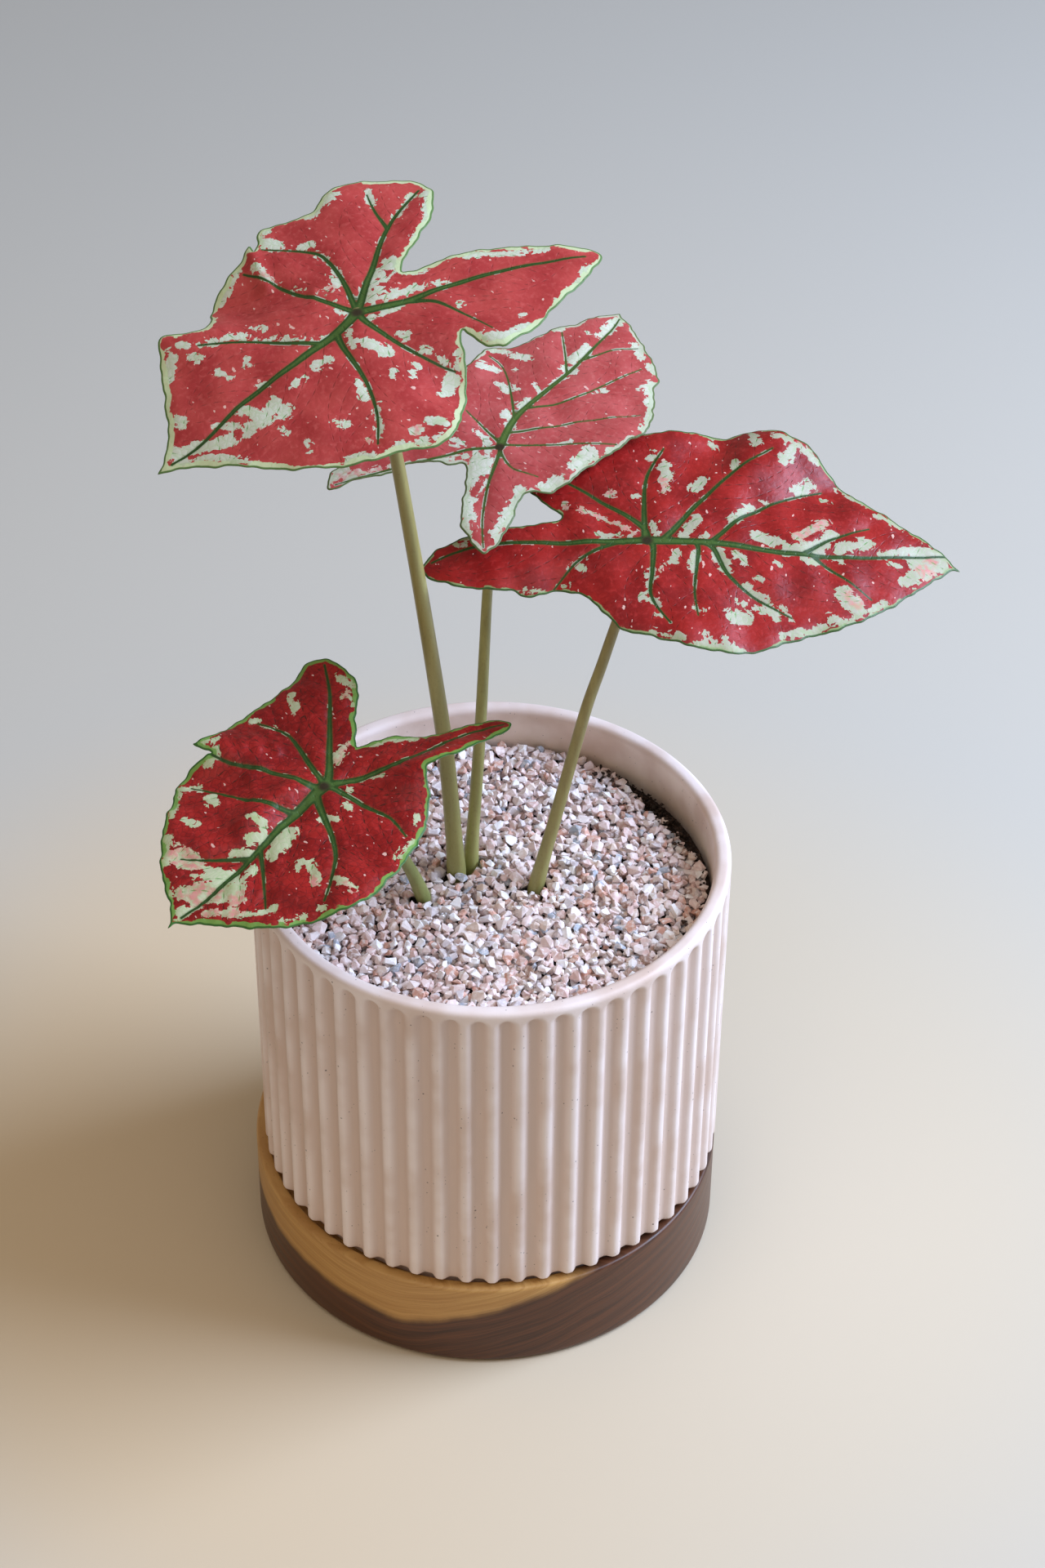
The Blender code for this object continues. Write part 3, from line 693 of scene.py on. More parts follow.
TALL = LeafPlan(
    name="tall",
    seat=(-30.8, -2.4, 304.8),
    tilt=14.0,
    tilt_heading=-110.0,
    midrib_heading=-139.4,
    tip_droop=0.20,
    lobe_droop=0.12,
    arch=0.10,
    margin=(
        (61.6, 0.1), (59.1, 2), (55.7, 5.2), (51.6, 10.1), (45.1, 18.6), (39.9, 25.2),
        (33.3, 31.7), (26.5, 36.9), (19.8, 39.8), (14.8, 42.9), (10.7, 44.9), (6.6, 43.8),
        (1.7, 40.2), (-2.9, 36), (-6.3, 32.7), (-9.5, 28.5), (-12.2, 24.4), (-14.4, 22.4),
        (-14.4, 25.7), (-14.5, 28.9), (-15.1, 30.8), (-16.9, 32.5), (-18.9, 33.4),
        (-26.6, 32.9), (-36.3, 29.7), (-47.4, 27), (-55.5, 24), (-57.7, 20.7), (-54.3, 16.1),
        (-49.4, 12), (-40, 5.5), (-30.5, 1), (-22.5, -0.9), (-16.4, -3.4), (-24.8, -8.9),
        (-33.3, -13.3), (-39.1, -18.6), (-41.7, -23.7), (-40.4, -28.9), (-32.9, -34.3),
        (-23.5, -38.4), (-18.1, -37.2), (-14.1, -36), (-9.2, -37.2), (-3.5, -40.1),
        (-0.9, -39.8), (1.2, -37.6), (3.3, -35.5), (4.6, -34.4), (4.1, -36.1), (3.7, -37.7),
        (5.3, -36.9), (7.7, -35.7), (10.6, -35), (14.4, -34.2), (18.5, -33), (22.5, -29.4),
        (27, -24), (29.2, -23.8), (32.7, -25.6), (35.5, -27.9), (37.7, -28.4), (39.6, -27.3),
        (42.3, -23.3), (46.1, -17.4), (49.6, -11.8), (53.2, -6.5), (56.7, -2.7),
    ),
    pleats=(
        Pleat(21, -30, 9, -5.0), Pleat(38, -32, 8, 3.0), Pleat(-3, 37, 8, -4.0),
        Pleat(-18, 31, 6, 2.0), Pleat(-26, -39, 9, 1.5),
    ),
    stalk=(
        (-8.1, 4.0, 123.0), (-10.1, 2.4, 158.7), (-12.0, 1.5, 180.0), (-16.0, 0.2, 214.8),
        (-18.8, -0.5, 237.1), (-22.1, -1.3, 262.3), (-25.8, -1.9, 284.6),
    ),
    stalk_foot=(-8.3, 3.2),
    foot_radius=2.35,
    neck_radius=1.5,
    veins=(
        Vein(3.1, 0.54, (0, 0), (6, 1.5), (21.5, 2), (37, 1.5), (49, 2.5), (58, 1)),
        Vein(2.42, 0.54, (0, 0), (-10, -7.5), (-24, -18), (-39, -24.5)),
        Vein(2.76, 0.54, (0, 0), (-10.5, 5), (-26.5, 9.5), (-38, 13.5), (-54, 20.5)),
        Vein(1.84, 0.41, (0, 0), (-3.5, -8.5), (-6, -18.5), (-5, -24.5), (2.5, -34)),
        Vein(1.84, 0.41, (0, 0), (2.5, -6.5), (5.5, -14.5), (7.5, -23), (10, -32)),
        Vein(1.49, 0.41, (12, 2), (17, -3.5), (23, -11), (33, -20)),
        Vein(2.07, 0.41, (0, 0), (0.5, 5.5), (-1.5, 16.5), (-4, 24.5), (-6, 29)),
        Vein(1.84, 0.41, (7.5, 1.5), (9.5, 6.5), (12, 17.5), (16.5, 27.5), (22, 34.5)),
        Vein(1.49, 0.34, (-10.5, 5), (-15.5, 10), (-18.5, 19.5), (-19.5, 27)),
        Vein(1.26, 0.34, (-24, -18), (-25.5, -24.5), (-28, -31)),
    ),
    cream=(
        Stroke(5, (-5.5, -2.5), (-11.5, -6), (-16.5, -7)),
        Stroke(2.5, (-5, -0.5), (-10.5, 2), (-15.5, 3.5)),
        Stroke(2.9, (-39.5, -21.5), (-35, -15.5), (-30.5, -12), (-26, -10)),
        Stroke(2.1, (-26.5, 0), (-32.5, 3.5), (-40, 8.5), (-48, 13)),
        Stroke(2.9, (-17.5, -2.5), (-20.5, -0.5)), Stroke(1.7, (-49.5, 25), (-53, 24)),
        Stroke(1.7, (-43.5, 28), (-48.5, 26.5)), Stroke(1.5, (-38.5, 29), (-42.5, 27.5)),
        Stroke(3.4, (-16.5, 28.5), (-20.5, 32), (-26.5, 32)),
        Stroke(1.5, (-14, 2.5), (-22, 6.5)), Stroke(1.9, (-0.5, 4.5), (-5.5, 5), (-8.5, 6)),
        Stroke(1.3, (-28, -20), (-36.5, -24)), Stroke(1.7, (-29, -31.5), (-27, -27.5)),
        Stroke(3.6, (0.5, -36.5), (-0.5, -32.5)), Stroke(2.3, (-4, -27.5), (-6.5, -26.5)),
        Stroke(1.3, (-5.5, -22.5), (-6, -20)), Stroke(1.7, (-5.5, -17), (-4, -10.5)),
        Stroke(1.5, (-3.5, -14.5), (-2, -10.5)), Stroke(1.5, (2, -6.5), (2.5, -1.5)),
        Stroke(2.5, (-13, -34), (-18, -36), (-22, -36)), Stroke(1.7, (-5, -39.5), (-1.5, -38)),
        Stroke(1.9, (7.5, -30), (7.5, -27.5)),
        Stroke(1.7, (18.5, -31), (13.5, -32.5), (7.5, -34.5)),
        Stroke(1.3, (6.5, -21), (4.5, -16)), Stroke(1.3, (33, -19.5), (27.5, -16.5)),
        Stroke(1.7, (27, -16.5), (23, -14)), Stroke(1.5, (22, -11), (20.5, -8.5)),
        Stroke(1.3, (18.5, -7.5), (14.5, -3)), Stroke(1.7, (13, 0), (10, 1.5)),
        Stroke(1.9, (20, -14.5), (19, -13)), Stroke(1.9, (36, -18.5), (34.5, -16.5)),
        Stroke(1.9, (36, -23), (35, -21.5)), Stroke(2.1, (28.5, -7.5), (28, -6)),
        Stroke(1.9, (34.5, -10), (33.5, -7)), Stroke(1.7, (30, 0), (29, 2)),
        Stroke(2.3, (50, -8), (49, -5)), Stroke(3.4, (37.5, 3), (36.5, 6.5)),
        Stroke(1.9, (44.5, 1.5), (41, 6.5)), Stroke(3.8, (56.5, -1.5), (50.5, 3), (45, 7.5)),
        Stroke(2.1, (57, 1), (51, 7), (45, 17.5)), Stroke(2.5, (39, -23.5), (43, -18)),
        Stroke(1.3, (45.5, -17), (48.5, -12.5)), Stroke(4.2, (32, 7.5), (31, 11.5)),
        Stroke(3.4, (40.5, 8.5), (35.5, 9.5)), Stroke(1.5, (26, 7.5), (21.5, 7)),
        Stroke(2.5, (17.5, 6.5), (15, 7)), Stroke(1.7, (5, 3), (8, 9)),
        Stroke(4, (5, 10.5), (3, 15)), Stroke(2.1, (-2.5, 13), (-3.5, 14)),
        Stroke(1.9, (-4, 19.5), (-5, 21)), Stroke(2.1, (-5.5, 23.5), (-5.5, 25)),
        Stroke(1.9, (6, 20.5), (6.5, 21)), Stroke(1.7, (2.5, 23), (3, 24)),
        Stroke(1.7, (0, 21.5), (0, 22.5)), Stroke(2.1, (-9.5, 26.5), (-7, 28.5)),
        Stroke(3.6, (-0.5, 32), (-4.5, 30)), Stroke(1.9, (13.5, 17), (16, 22.5)),
        Stroke(2.3, (15.5, 26.5), (19.5, 32.5)), Stroke(2.9, (8.5, 38), (7, 41)),
        Stroke(2.3, (25, 23), (24, 24.5)), Stroke(2.1, (33.5, 22), (34, 23.5)),
        Stroke(1.7, (35.5, 15), (35, 16)), Stroke(2.1, (30, 32.5), (25.5, 36)),
        Stroke(1.7, (21, 37.5), (15, 41), (10, 43)), Stroke(1.9, (-19.5, 15.5), (-20.5, 16)),
        Stroke(1.7, (-28, 27), (-29, 27.5)),
    ),
    blush=(
        Stroke(1.9, (2.5, -11.5), (0, -10)), Stroke(1.7, (7.5, -26.5), (7, -24)),
        Stroke(2.1, (14, 37.5), (12.5, 38.5)), Stroke(1.9, (23, 31.5), (23, 32.5)),
    ),
    islands=(
        Stroke(1, (-8.5, -5.5), (-10.5, -5)), Stroke(0.8, (-9, -3), (-12, -2.5)),
        Stroke(1, (-13.5, -7.5), (-14, -4.5)), Stroke(0.8, (-5.5, -2.5), (-7.5, -3)),
        Stroke(1, (-19, 28.5), (-20.5, 30)),
    ),
    blade_finish=BladeFinish(
        "red blade tall", band=(0.5, 1.7), outline=0.14, rim=(84, 116, 60), **ROSE_RED
    ),
    stalk_finish=StalkFinish("olive stalk tall", (160, 150, 92), (138, 130, 76)),
    swells=(Swell(1.3, 2.0, (5.5, -34), (8, -28), (9, -24)), Swell(0.4, 1.4, (3, -13), (4.5, -11))),
    seed=11,
)
BACK = LeafPlan(
    name="back",
    seat=(3.5, 36.6, 239.8),
    tilt=12.0,
    tilt_heading=-90.0,
    midrib_heading=59.8,
    tip_droop=0.10,
    lobe_droop=0.10,
    arch=0.10,
    margin=(
        (64, 0.1), (59.4, 4.5), (53.5, 7.6), (48.5, 11.6), (42.5, 14.1), (36.3, 17.9),
        (33.4, 22.5), (24.9, 23.5), (15, 22), (4.9, 18.5), (-2, 19), (-10, 24), (-17.5, 29.4),
        (-27, 34), (-33.1, 31.5), (-26.5, 26.5), (-22.1, 21), (-15.6, 17), (-12.5, 12),
        (-11.9, 8.7), (-10.7, 7.4), (-9.6, 5), (-11.7, 3), (-17.6, 0.1), (-22.6, -2.1),
        (-27.6, -4.9), (-30.3, -8.8), (-32.2, -13), (-32.5, -14.9), (-28.9, -15.9),
        (-23.6, -15.9), (-17, -14.8), (-13.5, -13.6), (-9.5, -14.5), (-6.4, -19), (-1, -21.4),
        (5.5, -22.6), (16, -26.6), (21.9, -28.5), (24.5, -29.8), (29.8, -28.7), (35.7, -26.2),
        (41.5, -23), (45, -22.3), (49, -19.5), (52.9, -15.2), (56.7, -10.7), (60.5, -5.8),
    ),
    pleats=(Pleat(24, -29, 7, 2.0), Pleat(34, 18, 7, -1.5), Pleat(5, 20, 8, 1.5)),
    stalk=(
        (-4.1, 8.4, 123.0), (-2.6, 11.4, 147.0), (-1.3, 15.0, 169.3), (-0.5, 18.8, 186.8),
        (0.3, 23.0, 203.1), (1.7, 29.0, 222.0),
    ),
    stalk_foot=(-3.0, 8.6),
    foot_radius=1.8,
    neck_radius=1.2,
    veins=(
        Vein(2.4, 0.4, (0, 0), (12.5, 2), (36.5, -1), (55, -1.5), (62, -1)),
        Vein(1.0, 0.3, (0, 0), (2.5, 3), (6.5, 14)),
        Vein(0.8, 0.25, (10, 1.5), (18, 7), (27.5, 15), (30, 21)),
        Vein(0.7, 0.25, (16, 1.5), (23, -5), (32.5, -10), (47, -16)),
        Vein(0.7, 0.25, (6, 1), (12, -6), (19.5, -13.5), (30, -25)),
        Vein(0.8, 0.25, (0, 0), (1.5, -1), (10.5, -15), (16.5, -25.5)),
        Vein(1.1, 0.3, (0, 0), (-1, 1.5), (-5, 7), (-12, 13), (-21, 21.5), (-31, 31)),
        Vein(1.1, 0.3, (0, 0), (-2, -1), (-12.5, -4), (-23, -8.5), (-31, -13.5)),
        Vein(0.8, 0.25, (0, 0), (-2.5, -2.5), (-4.5, -7), (-3.5, -13.5)),
        Vein(0.7, 0.25, (34, -0.5), (41, 4), (48, 9)),
        Vein(0.7, 0.25, (40, -1), (48, -5.5), (54, -11)),
    ),
    cream=(
        Stroke(6, (-5, 2), (-10.5, 0.5), (-15, -0.5)),
        Stroke(3.7, (-18.5, -2), (-26.5, -6), (-30, -10.5)),
        Stroke(3.2, (-11, -12.5), (-18.5, -13.5), (-26, -14)),
        Stroke(3.4, (39.5, 0.5), (45.5, -0.5)), Stroke(3.2, (35.5, 1), (35, -1.5)),
        Stroke(1.4, (27.5, 0.5), (33, -1)), Stroke(3.4, (53, -0.5), (61.5, -1)),
        Stroke(1.4, (51.5, 3.5), (51.5, 2.5)), Stroke(1.8, (48, 11), (49.5, 10)),
        Stroke(2.7, (32.5, 22), (33.5, 19)), Stroke(2.5, (25, 21), (26.5, 15.5)),
        Stroke(1.8, (33, 16.5), (34, 11)), Stroke(1.6, (29, 13), (29, 12)),
        Stroke(1.8, (21, 12.5), (20, 9.5)), Stroke(1.8, (21, 9), (21.5, 7)),
        Stroke(3, (16, 3.5), (18.5, 2)), Stroke(2.3, (11.5, 5), (7.5, 1)),
        Stroke(1.8, (25, 4.5), (23.5, 1.5)), Stroke(2.1, (2, 8), (0, 3)),
        Stroke(1.8, (-11.5, 11), (-7, 6)), Stroke(1.6, (-4.5, 11.5), (-3.5, 8)),
        Stroke(2.5, (-29.5, 32.5), (-26, 32)), Stroke(2.1, (55, -9.5), (50.5, -15)),
        Stroke(1.6, (49.5, -16.5), (47.5, -19.5)),
        Stroke(2.7, (43, -21.5), (34, -26), (25, -29.5)),
        Stroke(1.4, (39.5, -19.5), (41.5, -21)),
        Stroke(4.6, (5, -20), (8.5, -20.5), (10.5, -21.5)), Stroke(1.4, (10, -23), (17, -26.5)),
        Stroke(3.7, (-5.5, -17), (-2, -19)), Stroke(1.6, (-3, -21.5), (-1.5, -22)),
        Stroke(1.4, (-10, -11.5), (-9.5, -12.5)), Stroke(1.4, (31.5, -10.5), (34, -13)),
        Stroke(1.6, (9.5, -13), (11.5, -15)),
    ),
    blush=(
        Stroke(1.8, (-24, 25.5), (-19.5, 21.5)), Stroke(2.3, (-29.5, 31.5), (-25.5, 27.5)),
    ),
    islands=(
        Stroke(2.5, (-11.5, -2), (-17.5, -2.5)), Stroke(2.3, (-25.5, -7.5), (-29.5, -10.5)),
        Stroke(1.1, (-4, 3), (-4, 0.5)),
    ),
    blade_finish=BladeFinish(
        "red blade back", band=(0.2, 1.3), band_colour=(190, 195, 170), outline=0.45,
        rib=(62, 88, 36), rib_light=(82, 108, 48), rim=(88, 106, 60),
        cream=(205, 205, 187), **PINK_RED
    ),
    stalk_finish=StalkFinish("olive stalk back", (168, 164, 100), (146, 142, 84)),
    crinkle=0.2,
    seed=12,
)
RIGHT = LeafPlan(
    name="right",
    seat=(41.1, 9.5, 229.8),
    tilt=16.0,
    tilt_heading=-90.0,
    midrib_heading=0.6,
    tip_droop=0.15,
    lobe_droop=0.10,
    arch=0.12,
    margin=(
        (81.4, -1.1), (80, 0.3), (78.5, 2.2), (75.9, 4.8), (69.5, 9.4), (60, 16), (51.5, 24),
        (48.6, 27.6), (46.4, 31.2), (44.1, 33.8), (40.4, 35.8), (36.5, 37.8), (33, 39.3),
        (29, 40.1), (21.9, 38.5), (15.5, 38.6), (9.4, 38.4), (0.9, 37), (-8, 34.1), (-18, 31.6),
        (-26, 28), (-30.5, 24), (-30, 18.4), (-25.5, 12.9), (-21.5, 8.9), (-25.6, 6.5),
        (-33, 5.9), (-40.6, 5), (-49, 2.5), (-54.5, -0.9), (-57.5, -5), (-55.1, -9),
        (-48.1, -12.1), (-39.9, -13.3), (-35, -13.6), (-32.2, -14.8), (-29.7, -15.1),
        (-26.9, -14.4), (-23, -13.6), (-18.8, -14.9), (-15, -17.7), (-12, -21.6), (-9, -25.6),
        (-5.2, -28.6), (-0.5, -29.9), (4.4, -31.7), (9.9, -33.6), (16.9, -34.6), (24, -34.2),
        (30.5, -31.5), (40, -27.1), (50, -23.5), (59.4, -18), (70, -9.6), (75.5, -4.5),
        (78.7, -1.7),
    ),
    pleats=(
        Pleat(38, 37, 8, 3.0), Pleat(22, 36, 7, -3.0), Pleat(52, 22, 8, -2.5),
        Pleat(-26, -16, 7, -2.5), Pleat(10, -33, 10, 2.0), Pleat(40, -28, 10, -1.5),
    ),
    stalk=(
        (14.0, -1.1, 123.0), (19.1, 1.0, 146.1), (23.6, 3.0, 166.6), (26.8, 4.4, 180.6),
        (30.3, 5.6, 192.8), (33.6, 6.8, 204.8), (38.0, 8.4, 219.5),
    ),
    stalk_foot=(10.5, -2.2),
    foot_radius=1.9,
    neck_radius=1.25,
    veins=(
        Vein(2.84, 0.52, (0, 0), (18, -0.5), (37, -2.5), (56, -1.5), (78.5, 3)),
        Vein(1.99, 0.39, (0, 0), (-0.5, 3), (0.5, 20.5), (5.5, 31.5)),
        Vein(1.89, 0.39, (3.5, 0), (6, 2.5), (14, 13), (24, 24), (34, 31.5)),
        Vein(1.47, 0.39, (15, -0.5), (17.5, 1), (25.5, 9), (38.5, 17.5), (46.5, 21)),
        Vein(1.89, 0.39, (0, 0), (-1, 4.5), (-10.5, 12.5), (-19.5, 19.5), (-26, 23)),
        Vein(2.31, 0.45, (0, 0), (-2.5, 0), (-19, 0), (-42.5, 0.5), (-55, -4)),
        Vein(1.37, 0.32, (-6, -0.5), (-9, -1), (-17.5, -5.5), (-24, -13)),
        Vein(1.89, 0.39, (0, 0), (1.5, -2), (1, -10), (0.5, -18), (5, -26.5)),
        Vein(1.37, 0.32, (12, -0.5), (13, -3), (11.5, -15.5), (12, -24)),
        Vein(1.68, 0.39, (14.5, -0.5), (17, -2.5), (20.5, -10.5), (26.5, -16.5), (36, -22)),
        Vein(1.37, 0.32, (40, -2.5), (48, 3.5), (58, 8.5)),
        Vein(1.16, 0.32, (42, -2.5), (50, -9), (57, -14.5)),
    ),
    cream=(
        Stroke(3.4, (28, 2.5), (33.5, 1)), Stroke(3.4, (35.5, -2), (43.5, 0), (48, 4.5)),
        Stroke(3.6, (49.5, 0.5), (57, 3)), Stroke(2.5, (61, 0), (68, 3), (76.5, 3.5)),
        Stroke(6.3, (70.5, -0.5), (76, 0)), Stroke(4.1, (67, -7.5), (71.5, -3.5)),
        Stroke(2.3, (22.5, -4), (25, -6)), Stroke(2.7, (40, -4), (43.5, -4.5)),
        Stroke(1.4, (45.5, -2.5), (50, -3.5)), Stroke(1.8, (63, -2), (65, -3)),
        Stroke(3.2, (18, -4), (20, -9)), Stroke(2.5, (12.5, -4), (11.5, -8.5)),
        Stroke(4.5, (49.5, -14), (53, -18)), Stroke(2, (52.5, -20.5), (60.5, -15.5)),
        Stroke(2.3, (46, -21.5), (48, -22)), Stroke(1.8, (33.5, -27.5), (42, -25), (51.5, -22)),
        Stroke(2, (10.5, -33), (22, -33.5)), Stroke(1.8, (13.5, -30), (13.5, -32.5)),
        Stroke(2, (18.5, -31.5), (19.5, -32.5)), Stroke(2, (0, -29), (7.5, -31.5)),
        Stroke(4.5, (21, -23.5), (24, -23)), Stroke(2, (11.5, -22), (12.5, -22.5)),
        Stroke(1.4, (22.5, -18.5), (23.5, -18.5)), Stroke(1.8, (28, -11), (29, -11.5)),
        Stroke(1.4, (33, -6), (33.5, -6.5)), Stroke(2, (25, -14), (29, -17)),
        Stroke(2.3, (27.5, -19.5), (28.5, -20)), Stroke(2, (31, -19.5), (32, -22.5)),
        Stroke(1.4, (33.5, -19), (36, -22)), Stroke(2.7, (22, 7), (27, 12.5)),
        Stroke(1.4, (30, 14.5), (31, 14.5)), Stroke(3.2, (40, 20), (43.5, 22.5)),
        Stroke(3.2, (13, 17.5), (15, 20.5)), Stroke(2.5, (9.5, 2), (13, 7)),
        Stroke(1.4, (14, 1.5), (15, 2)), Stroke(1.4, (24, 27), (24, 25)),
        Stroke(2, (18, 36.5), (19, 34)), Stroke(2.5, (29, 38), (30, 33)),
        Stroke(3.2, (39.5, 32.5), (37, 28.5)), Stroke(1.8, (35, 36), (41.5, 33.5), (46, 29.5)),
        Stroke(3.2, (5, 25.5), (6, 20.5)), Stroke(1.8, (-2, 14.5), (-1.5, 13.5)),
        Stroke(1.6, (2, 28.5), (3, 30)), Stroke(1.8, (51.5, 23), (54.5, 20), (58.5, 16.5)),
        Stroke(1.6, (60, 13.5), (66.5, 10.5)), Stroke(1.4, (47, 18.5), (48.5, 16.5)),
        Stroke(1.4, (-13, 2), (-4.5, 1)), Stroke(1.6, (-48.5, 1), (-44.5, 2)),
        Stroke(1.6, (-33, -14.5), (-27.5, -13.5)), Stroke(1.4, (-23, -12), (-21, -12.5)),
        Stroke(1.4, (-20, -7.5), (-16, -5)), Stroke(2, (-17.5, -7.5), (-17, -8)),
        Stroke(2.3, (2, 5), (2, 3)), Stroke(2, (7.5, -3), (6.5, -7)),
        Stroke(1.6, (1.5, -11), (2, -12)), Stroke(2, (-1.5, -18.5), (2, -20.5)),
        Stroke(1.4, (1.5, -23.5), (2.5, -24)), Stroke(1.4, (0.5, -9.5), (-0.5, -16.5)),
    ),
    blush=(
        Stroke(2.7, (5, 20), (5, 16.5)), Stroke(2.5, (-9, 15.5), (-8, 15.5)),
        Stroke(1.6, (-21, 12), (-11, 7.5), (-3, 2.5)), Stroke(3.2, (38.5, 3), (46.5, 9)),
        Stroke(3.6, (71.5, -3.5), (74, 0)), Stroke(3.2, (51, -15), (53, -16)),
        Stroke(1.1, (69.5, 7.5), (73.5, 6)), Stroke(1.4, (3.5, -8.5), (3, -10.5)),
    ),
    islands=(
        Stroke(2, (36.5, 2), (44, 4.5)), Stroke(1.1, (41, 8.5), (44, 7)),
    ),
    blade_finish=BladeFinish(
        "red blade right", band=(-0.1, 0.9), band_colour=(136, 158, 104), outline=0.12,
        cream=(174, 172, 151), cream_green=(153, 160, 117),
        rim=(58, 90, 42), net_depth=0.15, side_depth=0.6, **DEEP_RED
    ),
    stalk_finish=StalkFinish("olive stalk right", (162, 152, 96), (138, 126, 78)),
    seed=13,
)
